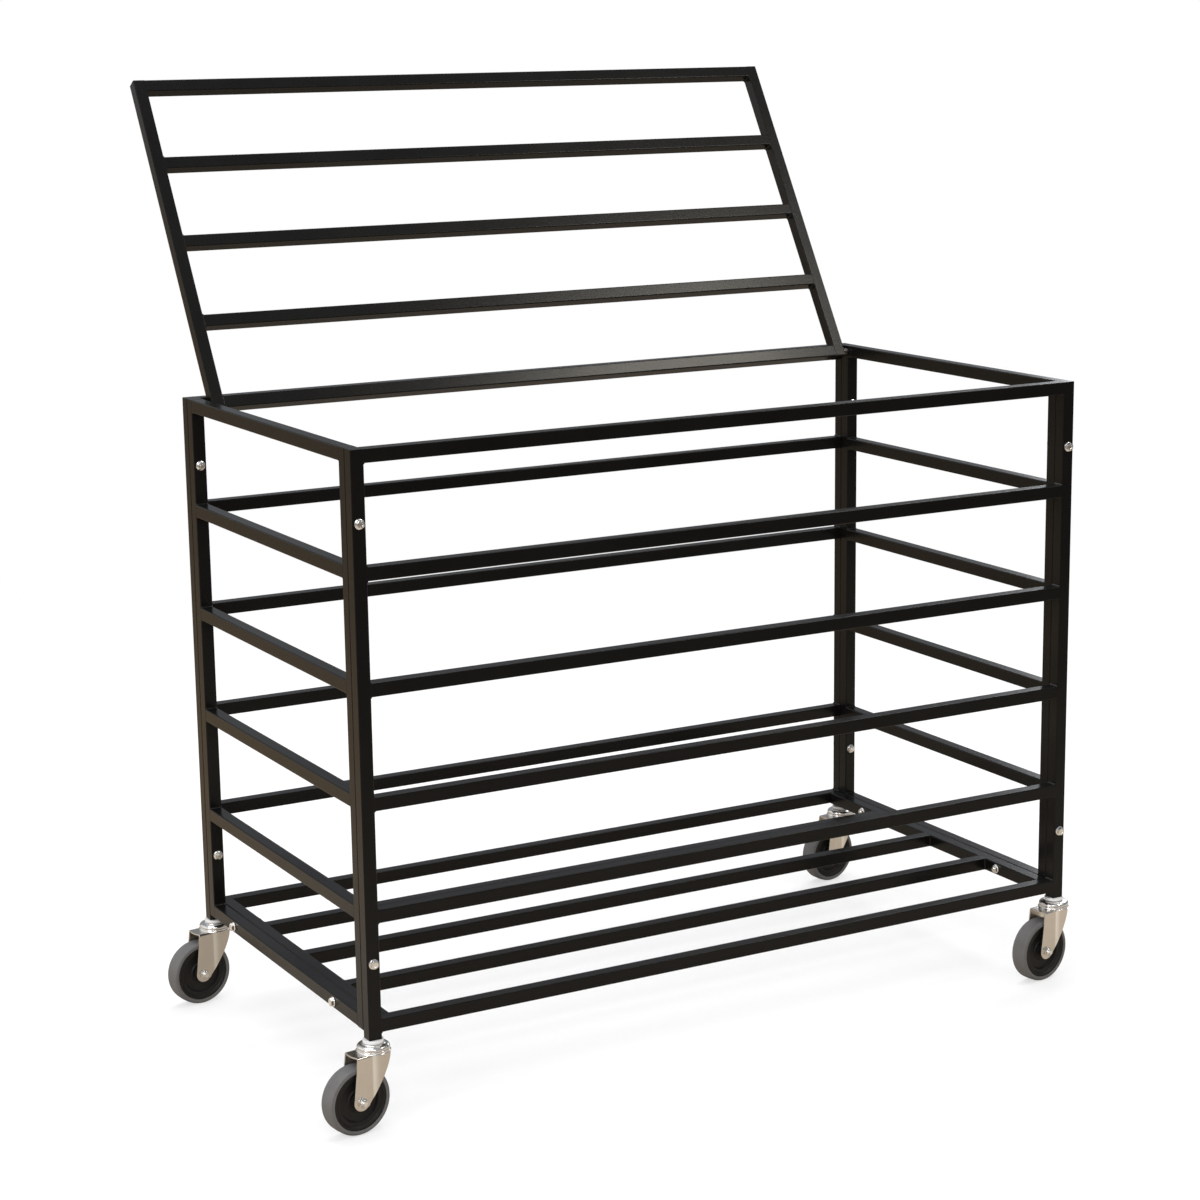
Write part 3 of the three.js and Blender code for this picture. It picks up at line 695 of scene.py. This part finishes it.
def threaded(radius, start, length, pitch, depth, columns):
    """A screw thread along Z: the radius falls by the depth as a triangle wave of the height over
    the pitch less the angle over a full turn, and tapers in at the tip. Both ends are closed."""
    rows = int(round(8 * length / pitch))
    height = np.linspace(0.0, length, rows + 1)[:, None]
    angle = full_turn(columns)
    phase = (height / pitch - angle / (2 * math.pi)) % 1.0
    wave = np.abs(2 * phase - 1)
    tip = np.clip((length - height) / pitch, 0.0, 1.0)
    reach = radius - depth * (1 - (1 - wave) * tip) * np.clip(height / pitch, 0.0, 1.0)
    grid = about_z(reach, start + height, angle)
    caps = [np.broadcast_to(grid[row].mean(0), grid[row].shape)[None] for row in (0, -1)]
    return np.concatenate([caps[0], grid, caps[1]])


def flanged_head(height, bore):
    """The hexagon on its flange, as rows of radius and height from the flange's underside up. The
    top is chamfered on a straight line, and dished or let into a bore."""
    corner, mean = BOLT_HEX / math.sqrt(3), BOLT_HEX / 2
    rows = [(-(bore or POLE), 0.0)]
    rows += [(-share * BOLT_FLANGE_RADIUS, rise) for share, rise in FLANGE_EDGE]
    rows += [(-corner * 1.02, BOLT_FLANGE * 1.15), (corner, BOLT_FLANGE * 1.3)]
    chamfer = corner - CHAMFER_SHARE * mean
    shoulder = height - chamfer * SHOULDER_SHARE
    rows += [*np.linspace((corner, shoulder),
                          (corner - chamfer, shoulder + chamfer * CHAMFER_SLOPE), 6)]
    rows.append((0.90 * mean, height))
    if bore:
        rows += [(-bore * 1.25, height), (-bore, height - bore * 0.2), (-bore, 0.0)]
    else:
        rows += [(-max(share * mean, POLE), height - dish) for share, dish in HEAD_DISH]
    return np.array(rows)


def clouded(name, cloud, deep, pale, roughness, more, grain=None, height=None, strength=0.5):
    """A material that soft clouds, given as noise, turn from a deep colour to a pale one. The
    roughness is a number plus another times the clouds. A grain with so many swells to the metre,
    or else the clouds themselves, are raised to a height in metres."""
    made, finish = material(name)
    share = finish.noise(*cloud)
    inputs = {"Base Color": finish.mixed(share, (*deep, 1.0), (*pale, 1.0)),
              "Roughness": roughness[0] + roughness[1] * share, **more}
    if height:
        relief = finish.noise(grain) if grain else share
        inputs["Normal"] = finish.bump(relief * height, strength)
    finish.surface(inputs)
    return made


zinc = clouded(
    "bright_zinc", cloud=(260.0, 3.0, 0.6), deep=(0.84, 0.82, 0.79), pale=(0.92, 0.915, 0.90),
    roughness=(0.16, 0.16), more={"Metallic": 1.0}, grain=2600.0, height=0.000006)


def spread_along(node, outwards):
    """Where a fastener's axis runs, and where the node starts and ends along it."""
    low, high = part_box(node)
    middle = (low + high) / 2
    near, far = sorted((low.dot(outwards), high.dot(outwards)))
    return middle - outwards * middle.dot(outwards), near, far


def facing(outwards, origin):
    """The matrix that stands a piece drawn up Z on a point, with Z turned outwards."""
    turn = outwards.to_track_quat("Z", "Y").to_matrix().to_4x4()
    return Matrix.Translation(origin) @ turn


def plain_rod(radius, start, end, columns):
    """A bare round rod along Z, closed at both ends."""
    return turned(np.array([(0.0, start), (radius, start), (radius, end), (0.0, end)]), columns)


def upside_down(grid, height):
    """A grid of points turned over about X, with its foot at a height."""
    return grid * np.array([1.0, -1.0, -1.0]) + np.array([0.0, 0.0, height])


def frame_bolt(name, outwards):
    """A bolt through two tubes, its head on the outer side, and the nut on its inner end."""
    on_axis, near, far = spread_along(f"{name}_bolt", outwards)
    head_height = BOLT_FLANGE + BOLT_HEAD
    seat = far - head_height
    thread = THREAD_TURNS * THREAD_PITCH
    shank_end = near - seat + thread
    head = hexagonal(flanged_head(head_height, 0.0), BOLT_HEX)
    shank = plain_rod(BOLT_RADIUS, SHANK_INTO_HEAD, shank_end, BOLT_COLUMNS)
    screw = threaded(BOLT_RADIUS, 0.0, thread, THREAD_PITCH, THREAD_DEPTH, BOLT_COLUMNS)
    grids = [head, shank, upside_down(screw, shank_end)]
    piece(f"{name}_flange_bolt", grids, zinc, "cage", [f"{name}_bolt"],
          facing(outwards, on_axis + outwards * seat))
    on_axis, near, far = spread_along(f"{name}_nut", outwards)
    nut = hexagonal(flanged_head(NUT_HEIGHT, BOLT_RADIUS), BOLT_HEX)
    piece(f"{name}_flange_nut", [nut], zinc, "cage", [f"{name}_nut"],
          facing(-outwards, on_axis + outwards * far))


for depth_side, outwards in (("front", -Y), ("back", Y)):
    for end_side in ("left", "right"):
        for level in ("upper", "lower"):
            frame_bolt(f"{depth_side}_{end_side}_{level}", outwards)
for end_side, outwards in (("left", -X), ("right", X)):
    for depth_side in ("front", "back"):
        frame_bolt(f"floor_{end_side}_{depth_side}", outwards)

pin_steel = clouded(
    "dull_pin_steel", cloud=(300.0, 3.0, 0.6), deep=(0.10, 0.098, 0.095),
    pale=(0.17, 0.165, 0.16), roughness=(0.38, 0.12), more={"Metallic": 1.0})

PIN_RADIUS = 0.004
PIN_COLLAR_RADIUS = 0.0055
PIN_COLLAR_HALF = 0.00545
PIN_EDGE = 0.0006
PIN_NECK = 0.0003
PIN_COLUMNS = 40

for end_side in ("left", "right"):
    on_axis, near, far = spread_along(f"lid_{end_side}_pivot_pin", X)
    reach = (far - near) / 2
    pin = rounded_profile(mirrored([
        (PIN_COLLAR_RADIUS, PIN_COLLAR_HALF, PIN_EDGE), (PIN_RADIUS, PIN_COLLAR_HALF, PIN_NECK),
        (PIN_RADIUS, reach, PIN_EDGE), (0.0, reach, 0.0)]))
    piece(f"lid_{end_side}_hinge_pin", [turned(pin, PIN_COLUMNS)], pin_steel, "lid",
          [f"lid_{end_side}_pivot_pin"],
          facing(X, on_axis + X * (near + far) / 2))


# Caster sockets and stems. A white nylon socket is pushed into the foot of each post, and its
# collar shows below it. The steel stem in it carries the upper cup of the swivel bearing.

SOCKET_COLLAR_RADIUS = 0.015
SOCKET_COLLAR = 0.0050
SOCKET_EDGE = 0.0012
SOCKET_BORE = 0.0058
PLUG_CORNER = 0.0005
PLUG_TAPER_LENGTH = 0.002
PLUG_TAPER = 0.0004
STEM_RADIUS = 0.0055
STEM_LENGTH = 0.036
CUP_RADIUS = 0.02375
UPPER_CUP = 0.0070
LOWER_CUP = 0.0037
CUP_GAP = 0.0005
CUP_SHEET = 0.0018
CUP_SIDE = 0.0030
CUP_SHOULDER = 0.0050
CUP_SHOULDER_IN = 0.0024
CUP_SHOULDER_FALL = 0.0010
CUP_SEAT = 0.0012
CUP_SEAT_FOOT = 0.0022
CUP_STEP = 0.0007
KINGPIN_RADIUS = 0.006
KINGPIN_HEAD_RADIUS = 0.009
KINGPIN_HEAD = 0.0025
FORK_SHEET = 0.0022
ROUND_COLUMNS = 72

nylon = clouded(
    "white_nylon", cloud=(120.0,), deep=(0.78, 0.79, 0.80), pale=(0.86, 0.865, 0.87),
    roughness=(0.30, 0.12), more={"Coat Weight": 0.15})
turned_plate = clouded(
    "bright_turned_steel", cloud=(120.0, 3.0, 0.6), deep=(0.86, 0.85, 0.84),
    pale=(0.93, 0.925, 0.92), roughness=(0.22, 0.06), more={"Metallic": 1.0}, height=0.00001)

# For each corner: the matrix that stands a caster under its post, with X along its trail, then
# the length of the trail and how far the axle is below the post's foot
casters = {}
for corner in ("front_left", "front_right", "back_left", "back_right"):
    swivel = Vector(joints[f"{corner}_swivel_turn"]["pos_m"])
    axle = Vector(joints[f"{corner}_wheel_turn"]["pos_m"])
    trail = axle - swivel
    heading = math.atan2(trail.y, trail.x)
    foot = Vector((swivel.x, swivel.y, cage_low.z))
    casters[corner] = (Matrix.Translation(foot) @ Matrix.Rotation(heading, 4, "Z"),
                       math.hypot(trail.x, trail.y), foot.z - axle.z)

collar_top = -PANEL_GAP
collar_base = collar_top - SOCKET_COLLAR
cup_top = collar_base - PANEL_GAP
cup_base = cup_top - UPPER_CUP
race_top = cup_base - CUP_GAP
plate_top = race_top - LOWER_CUP
plate_base = plate_top - FORK_SHEET

collar = rounded_profile([
    (SOCKET_BORE, collar_base, 0.0), (SOCKET_COLLAR_RADIUS, collar_base, SOCKET_EDGE),
    (SOCKET_COLLAR_RADIUS, collar_top, SOCKET_EDGE), (SOCKET_BORE, collar_top, 0.0),
    (SOCKET_BORE, collar_base, 0.0)])
cup_rim = CUP_RADIUS - CUP_SHEET
head_top = plate_base - PANEL_GAP
stem = rounded_profile([
    (0.0, head_top - KINGPIN_HEAD, 0.0),
    (KINGPIN_HEAD_RADIUS, head_top - KINGPIN_HEAD, 0.0012),
    (KINGPIN_HEAD_RADIUS, head_top, 0.0003),
    (KINGPIN_RADIUS, head_top, 0.0),
    (KINGPIN_RADIUS, cup_base + CUP_SHEET, 0.0),
    (cup_rim, cup_base + CUP_SHEET, 0.001),
    (cup_rim, cup_base, 0.0004),
    (CUP_RADIUS, cup_base, 0.0007),
    (CUP_RADIUS, cup_base + CUP_SIDE, CUP_SHOULDER),
    (CUP_RADIUS - CUP_SHOULDER_IN, cup_top - CUP_STEP - CUP_SHOULDER_FALL, CUP_SHOULDER),
    (SOCKET_COLLAR_RADIUS + CUP_SEAT_FOOT, cup_top - CUP_STEP, 0.0008),
    (SOCKET_COLLAR_RADIUS + CUP_SEAT, cup_top, 0.0006),
    (STEM_RADIUS, cup_top, 0.0004),
    (STEM_RADIUS, STEM_LENGTH, 0.0012),
    (0.0, STEM_LENGTH, 0.0)])
plug_side = TUBE - 2 * TUBE_WALL - 2 * PANEL_GAP
outline, directions = rounded_outline(plug_side, plug_side, PLUG_CORNER)
plug_rows = [(0.0, None), (0.0, 0.0), (STEM_LENGTH - PLUG_TAPER_LENGTH, 0.0),
             (STEM_LENGTH, PLUG_TAPER), (STEM_LENGTH, None)]
plug = carried(outline, directions, plug_rows, (0, 0, collar_top), Z, X, Y)
for corner, (stand, trail_length, drop) in casters.items():
    upright = Matrix.Translation(stand.translation)
    piece(f"{corner}_nylon_socket", [turned(collar, ROUND_COLUMNS), plug], nylon, "cage",
          [f"{corner}_stem_socket"], upright)
    piece(f"{corner}_stem_and_cup", [turned(stem, ROUND_COLUMNS)], turned_plate, "cage",
          [f"{corner}_caster_stem"], upright)


# Caster forks. One blank of thick plated sheet is pressed into a fork: a plate on top, bent down
# at both sides into creased legs that narrow to the axle. The lower bearing race stands on it.

FORK_HALF = 0.0174
FORK_BEND = 0.0012
FORK_FRONT_PAST_AXLE = 0.0053
FORK_FRONT_BOW = 0.0028
FORK_LEAD_RADIUS = 0.0255
FORK_END_RADIUS = 0.013
FORK_EDGE_SLOPE_DEG = 42.0
FORK_EDGE = 0.00045
LEG_CURVE_START = 0.012
LEG_CREASE = 0.003
LEG_CREASE_SLOPE = 0.087
LEG_CURVE_RADIUS = 0.200
LEAD_START_BEND = 0.6
LEAD_START_SHARE = 0.8
LEAD_STEPS = 80
BLANK_MIDDLE_SHARE = 0.6
LEG_COLUMNS = 34
LEG_ROWS = 34
LEG_MARGIN = 0.006
# The painted highlight down each fork leg: the line it follows, and how far it spreads on the
# trailing and the leading side
PAINTED_HIGHLIGHT_LINE = 0.0115
PAINTED_HIGHLIGHT_TRAIL_WIDTH = 0.0014
PAINTED_HIGHLIGHT_LEAD_WIDTH = 0.0070
RACE_FLARE = 0.0016
RACE_ROUND = 0.0021
RACE_LAND = 0.0045
RACE_STEP_OUT = 0.0010
RACE_STEP_DOWN = 0.0012
PLATED_DEEP = (0.66, 0.62, 0.57, 1.0)
PLATED_PALE = (0.72, 0.69, 0.65, 1.0)
# Painted highlight: the near white of the bright band down each leg, which stands in for a
# reflection
PLATED_PAINTED_HIGHLIGHT = (0.97, 0.97, 0.96, 1.0)
BRUSHING_STRETCH = (1.0, 1.0, 0.16)
BRUSHING_HEIGHT = 0.000003
SHEET_WAVE_HEIGHT = 0.00002

pressed, finish = material("plated_pressed_steel")
stretched = finish.node("Mapping", {
    "Vector": finish.place(), "Scale": BRUSHING_STRETCH})
brushing = finish.noise(1500.0, detail=3.0, roughness=0.6, place=stretched)
cloud = finish.noise(90.0, detail=4.0, roughness=0.6)
# The painted highlight written on each fork's points, which whitens the plating in a band down
# either leg
painted_highlight = finish.node("Attribute", {}, "Fac", attribute_name="painted_highlight")
finish.surface({
    "Base Color": finish.mixed(
        painted_highlight, finish.mixed(cloud, PLATED_DEEP, PLATED_PALE), PLATED_PAINTED_HIGHLIGHT),
    "Roughness": 0.20 + 0.06 * brushing + 0.04 * cloud,
    "Metallic": 1.0,
    "Normal": finish.bump(brushing * BRUSHING_HEIGHT + cloud * SHEET_WAVE_HEIGHT, 0.5),
})


def blank_outline(run, flat, bent, axle_run, trail_length):
    """The fork's blank, laid flat: where its leading and its front edge lie at each distance run
    from the middle of the plate. At the foot both are a circle about the axle, which the leading
    edge leaves on a slope and climbs as a parabola, and the front edge as a straight line. On the
    plate the leading edge is a circle about the swivel and the front edge a shallow bow. The
    third result is the run where the leading edge leaves the circle."""
    slope = math.radians(FORK_EDGE_SLOPE_DEG)
    past_axle = np.clip((run - axle_run) / FORK_END_RADIUS, 0.0, 1.0)
    foot = FORK_END_RADIUS * np.sqrt(1.0 - past_axle ** 2)
    tangent = trail_length - FORK_END_RADIUS * math.cos(slope)
    tangent_run = axle_run + FORK_END_RADIUS * math.sin(slope)
    start_run = flat + LEAD_START_BEND * bent
    start = -math.sqrt(FORK_LEAD_RADIUS ** 2 - (LEAD_START_SHARE * FORK_HALF) ** 2)
    control_run = tangent_run - (tangent - start) / math.tan(slope)
    share = np.linspace(0.0, 1.0, LEAD_STEPS)
    curve = (1 - share ** 2) * start + share ** 2 * tangent
    curve_run = ((1 - share) ** 2 * start_run + 2 * share * (1 - share) * control_run
                 + share ** 2 * tangent_run)
    lead = np.interp(run, curve_run, curve)
    lead = np.where(run > tangent_run, trail_length - foot, lead)
    plate = np.clip(run / start_run, 0.0, 1.0)
    swivel_edge = -np.sqrt(FORK_LEAD_RADIUS ** 2 - (LEAD_START_SHARE * FORK_HALF * plate) ** 2)
    lead = np.where(run < start_run, swivel_edge, lead)
    top = trail_length + FORK_FRONT_PAST_AXLE
    front = np.interp(run, [flat + bent, axle_run], [top, trail_length + FORK_END_RADIUS])
    front = np.where(run > axle_run, trail_length + foot, front)
    bow = FORK_FRONT_BOW * np.clip(1.0 - (run / flat) ** 2, 0.0, 1.0)
    return lead, front + bow, tangent_run


def fork_sheet(trail_length, drop):
    """The bent sheet as one closed surface. Each row is a loop round the sheet: its outer face
    from the leading to the front edge, the front edge, its inner face and the leading edge, both
    edges rounded. The rows run from the foot of one leg to the other. A point's distance run from
    the plate's middle folds as plate, quarter circle and leg. The leading part of either leg is
    turned inwards by a crease and then drawn in by the square of its distance from the crease,
    over twice its radius."""
    thick = FORK_SHEET / 2
    middle = FORK_HALF - thick
    level = plate_top - thick
    bend = FORK_BEND + thick
    flat = middle - bend
    bent = bend * math.pi / 2
    axle_run = flat + bent + level - bend + drop
    turn = np.linspace(0.0, math.pi / 2, 15)[:-1]
    half_run = np.concatenate([
        axle_run + FORK_END_RADIUS * np.cos(turn),
        np.linspace(axle_run, flat + bent, LEG_ROWS)[:-1],
        np.linspace(flat + bent, flat, 9)[:-1], np.linspace(flat, 0.0, 8)])
    run = np.concatenate([-half_run, half_run[:-1][::-1]])
    far = np.abs(run)
    lead, front, tangent_run = blank_outline(far, flat, bent, axle_run, trail_length)
    edges = []
    for edge, foot_run in ((lead, tangent_run), (front, axle_run)):
        step, rise = np.gradient(edge), np.gradient(run)
        inward = np.stack([-rise, step], 1)
        within = np.stack([BLANK_MIDDLE_SHARE * trail_length - edge, np.zeros_like(edge)], 1)
        inward *= np.sign((inward * within).sum(1, keepdims=True))
        round_foot = np.stack([trail_length - edge, np.sign(run) * (axle_run - far)], 1)
        inward = np.where((far >= foot_run)[:, None], round_foot, inward)
        inward /= np.linalg.norm(inward, axis=1, keepdims=True)
        edges.append((np.stack([edge, run], 1), inward))
    rounding = np.linspace(0.0, math.pi / 2, 5)
    out = FORK_EDGE * np.concatenate([np.sin(rounding), np.sin(rounding)[::-1]])
    side = thick - FORK_EDGE + FORK_EDGE * np.cos(rounding)
    side = np.concatenate([side, -side[::-1]])
    places, offsets = [], []
    share = np.linspace(0.0, 1.0, LEG_COLUMNS)
    share = np.sort(np.concatenate([share, [LEG_MARGIN, 1.0 - LEG_MARGIN]]))[1:-1]
    for (line, inward), (other, other_in), sign in ((*edges, 1.0), (*edges[::-1], -1.0)):
        start = line + FORK_EDGE * inward
        end = other + FORK_EDGE * other_in
        for part in share:
            places.append(start + part * (end - start))
            offsets.append(sign * thick)
        for reach, height in zip(out, side):
            places.append(end - reach * other_in)
            offsets.append(sign * height)
    places = np.stack(places, 1)
    offset = np.array(offsets)[None, :]
    ahead, run_out = places[:, :, 0], places[:, :, 1]
    far = np.abs(run_out)
    lean = np.clip((far - flat) / bend, 0.0, math.pi / 2)
    down = np.clip(far - flat - bent, 0.0, None)
    past = np.clip(LEG_CURVE_START - ahead, 0.0, None)
    creased = np.minimum(past, LEG_CREASE)
    beyond = past - creased
    drawn_in = (LEG_CREASE_SLOPE * (creased ** 2 / (2 * LEG_CREASE) + beyond)
                + beyond ** 2 / (2 * LEG_CURVE_RADIUS))
    across = (np.minimum(far, flat) + bend * np.sin(lean)) * (1 - drawn_in / middle)
    across = np.sign(run_out) * (across + offset * np.sin(lean))
    height = level - bend * (1 - np.cos(lean)) - down + offset * np.cos(lean)
    return np.stack([ahead, across, height], 2)


def paint_leg_highlight(sheet, stand):
    """Writes a painted highlight at each point of a fork, from 0 to 1: a bright band down either
    leg where its leading part starts to curve, standing in for a reflection of the light there. It
    is a bell, the exponential of minus the square of the distance from a line down either leg
    over its width, which is wider on the leading side. The plate gets none."""
    points = np.empty(len(sheet.vertices) * 3)
    sheet.vertices.foreach_get("co", points)
    local = moved(points.reshape(-1, 3), stand.inverted())
    away = local[:, 0] - PAINTED_HIGHLIGHT_LINE
    share = np.exp(-(away / np.where(away > 0, PAINTED_HIGHLIGHT_TRAIL_WIDTH, PAINTED_HIGHLIGHT_LEAD_WIDTH)) ** 2)
    share[local[:, 2] > plate_top - FORK_BEND] = 0.0
    painted_highlight = sheet.attributes.new("painted_highlight", "FLOAT", "POINT")
    painted_highlight.data.foreach_set("value", share.astype(np.float32))


# The race is a low round drum whose foot flares into the plate with a hollow quarter round
race_foot = [(CUP_RADIUS + RACE_FLARE * (1 - math.sin(t)),
              plate_top + RACE_FLARE * (1 - math.cos(t)), 0.0)
             for t in np.linspace(0.0, math.pi / 2, 7)]
race_bore = KINGPIN_RADIUS + PANEL_GAP
race_step = race_top - RACE_STEP_DOWN
race = rounded_profile([
    (race_bore, plate_top, 0.0), *race_foot, (CUP_RADIUS, race_top, RACE_ROUND),
    (CUP_RADIUS - RACE_LAND, race_top, 0.0004),
    (CUP_RADIUS - RACE_LAND - RACE_STEP_OUT, race_step, 0.0),
    (race_bore, race_step, 0.0), (race_bore, plate_top, 0.0)])

for corner, (stand, trail_length, drop) in casters.items():
    fork = piece(f"{corner}_fork_sheet", [fork_sheet(trail_length, drop)], pressed,
                 f"{corner}_swivel", [f"{corner}_fork"], stand)
    # Paints a highlight band down each leg of the fork
    paint_leg_highlight(fork.data, stand)
    piece(f"{corner}_lower_race", [turned(race, ROUND_COLUMNS)], turned_plate,
          f"{corner}_swivel", [], stand)


# Axles. Each wheel turns on a hexagon bolt through both legs, held by a nut on the far side, with
# the end of the thread standing a little out of it.

AXLE_RADIUS = 0.004
AXLE_HEX = 0.013
AXLE_HEAD = 0.0053
AXLE_NUT = 0.0065
AXLE_PITCH = 0.00125
AXLE_THREAD_DEPTH = 0.00042
AXLE_THREAD_INSIDE = 0.004
AXLE_PAST_NUT = 0.002
AXLE_INTO_HEAD = 0.0005
AXLE_COLUMNS = 28
WASHER_FACE = 0.0003
FACE_SHARE = 0.95
NUT_DOME_SHARE = 0.36
NUT_RING_SHARE = 1.2
# The share of half the hexagon's width, and how far above the head's shoulder
HEAD_CROWN = ((0.9, 0.0), (0.5, 0.0003), (0.0, 0.0004))


def hex_block(height, bore):
    """A hexagon with a straight chamfer at both ends and a washer face below. A bolt's head is a
    little domed, and a locking nut has a quarter ellipse round its bore for the locking ring."""
    corner, mean = AXLE_HEX / math.sqrt(3), AXLE_HEX / 2
    face = FACE_SHARE * mean
    chamfered = (corner - face) * CHAMFER_SLOPE
    rows = [(-(bore or POLE), 0.0), (-0.93 * mean, 0.0), (-face, WASHER_FACE)]
    rows += [*np.linspace((face, WASHER_FACE), (corner, WASHER_FACE + chamfered), 5)]
    shoulder = height * (1 - NUT_DOME_SHARE) - 0.0002 if bore else height - 0.0001
    rows += [*np.linspace((corner, shoulder - chamfered), (face, shoulder), 5)]
    if bore:
        inner = NUT_RING_SHARE * bore
        for turn in np.linspace(0.0, math.pi / 2, 7):
            rows.append((-(inner + (face - inner) * math.cos(turn)),
                         height * (1 - NUT_DOME_SHARE * (1 - math.sin(turn)))))
        rows += [(-bore, height - bore * 0.15), (-bore, 0.0)]
    else:
        rows += [(-max(share * mean, POLE), height + rise) for share, rise in HEAD_CROWN]
    return np.array(rows)


grip = FORK_HALF + PANEL_GAP
thread_start = grip - AXLE_THREAD_INSIDE
thread = AXLE_THREAD_INSIDE + AXLE_NUT + AXLE_PAST_NUT
head = hexagonal(hex_block(AXLE_HEAD - HEAD_CROWN[-1][1], 0.0), AXLE_HEX)
plain = plain_rod(AXLE_RADIUS, -grip - AXLE_INTO_HEAD, thread_start, AXLE_COLUMNS)
screw = threaded(AXLE_RADIUS, thread_start, thread, AXLE_PITCH, AXLE_THREAD_DEPTH, AXLE_COLUMNS)
nut = hexagonal(hex_block(AXLE_NUT, AXLE_RADIUS), AXLE_HEX) + np.array([0.0, 0.0, grip])


def on_axle(stand, trail_length, drop):
    """The matrix that lays a piece drawn up Z on a caster's axle, with Z towards the nut."""
    axle_place = stand @ Matrix.Translation((trail_length, 0.0, -drop))
    return axle_place @ Matrix.Rotation(-math.pi / 2, 4, "X")


for corner, caster in casters.items():
    piece(f"{corner}_axle_hex_bolt", [upside_down(head, -grip), plain, screw], zinc,
          f"{corner}_swivel", [f"{corner}_axle_bolt"], on_axle(*caster))
    piece(f"{corner}_axle_hex_nut", [nut], zinc, f"{corner}_swivel",
          [f"{corner}_axle_nut"], on_axle(*caster))


# Wheels. The hub is moulded black plastic with a boss, a thin web and a stepped rim, and the grey
# rubber tyre is moulded round it, with round shoulders and a fine parting line.

TYRE_HALF = 0.014
TYRE_DEPTH = 0.0075
TYRE_SHOULDER = 0.004
TREAD_CROWN = 0.0004
HUB_BOSS_RADIUS = 0.0095
HUB_BOSS_HALF = 0.0147
HUB_BORE = 0.0043
HUB_WEB_HALF = 0.0055
HUB_RIM_HALF = 0.0125
# How far in from the rim and from its side, and the radius that rounds the corner
HUB_RIM_STEPS = ((0.0, 0.0, 0.0003), (0.0035, 0.0, 0.0008), (0.0055, 0.0025, 0.0008),
                 (0.0110, 0.0028, 0.0008))
HUB_WEB_IN = 0.0125
HUB_RING_RISE = 0.0018
# How far out from the boss, how much of the rise, and the radius that rounds the corner
HUB_RING = ((0.008, 0.0, 0.001), (0.0065, 1.0, 0.0006), (0.0045, 1.0, 0.0006), (0.003, 0.0, 0.001))
PARTING_HALF = 0.0004
TYRE_BULGE = 0.0009
WHEEL_COLUMNS = 128

hub_black = clouded(
    "black_moulded_plastic", cloud=(55.0, 3.0, 0.6), deep=(0.0065, 0.0062, 0.006),
    pale=(0.014, 0.0135, 0.013), roughness=(0.45, 0.15), more={"Specular IOR Level": 0.3},
    grain=2200.0, height=0.00003)
rubber = clouded(
    "grey_rubber", cloud=(45.0, 4.0, 0.6), deep=(0.105, 0.104, 0.106),
    pale=(0.165, 0.163, 0.162), roughness=(0.55, 0.15), more={"Specular IOR Level": 0.4},
    grain=1800.0, height=0.00005, strength=0.6)


for corner, (stand, trail_length, drop) in casters.items():
    wheel_radius = stand.translation.z - drop
    rim = wheel_radius - TYRE_DEPTH - PANEL_GAP
    hub = mirrored([
        *[(rim - inset, HUB_RIM_HALF - sunk, rounding) for inset, sunk, rounding in HUB_RIM_STEPS],
        (rim - HUB_WEB_IN, HUB_WEB_HALF, 0.001),
        *[(HUB_BOSS_RADIUS + out, HUB_WEB_HALF + rise * HUB_RING_RISE, rounding)
          for out, rise, rounding in HUB_RING],
        (HUB_BOSS_RADIUS, HUB_WEB_HALF, 0.0012), (HUB_BOSS_RADIUS, HUB_BOSS_HALF, 0.0006),
        (HUB_BORE, HUB_BOSS_HALF, 0.0003)])
    tyre = mirrored([
        (wheel_radius, PARTING_HALF, 0.0),
        (wheel_radius - TREAD_CROWN, TYRE_HALF - TYRE_SHOULDER, 0.004),
        (wheel_radius - TYRE_SHOULDER * 0.5, TYRE_HALF - TYRE_BULGE, 0.0035),
        (wheel_radius - TYRE_SHOULDER, TYRE_HALF, 0.003),
        (wheel_radius - TYRE_DEPTH, TYRE_HALF, 0.0006), (wheel_radius - TYRE_DEPTH, 0.0005, 0.0)])
    for name, profile, finish, slot, replaced in (
            ("hub_moulding", hub, hub_black, "black_plastic", "wheel_hub"),
            ("rubber_tyre", tyre, rubber, "grey_rubber", "tyre")):
        closed = rounded_profile([*profile, profile[0]])
        piece(f"{corner}_{name}", [turned(closed, WHEEL_COLUMNS)], finish, f"{corner}_wheel",
              [f"{corner}_{replaced}"], on_axle(stand, trail_length, drop))
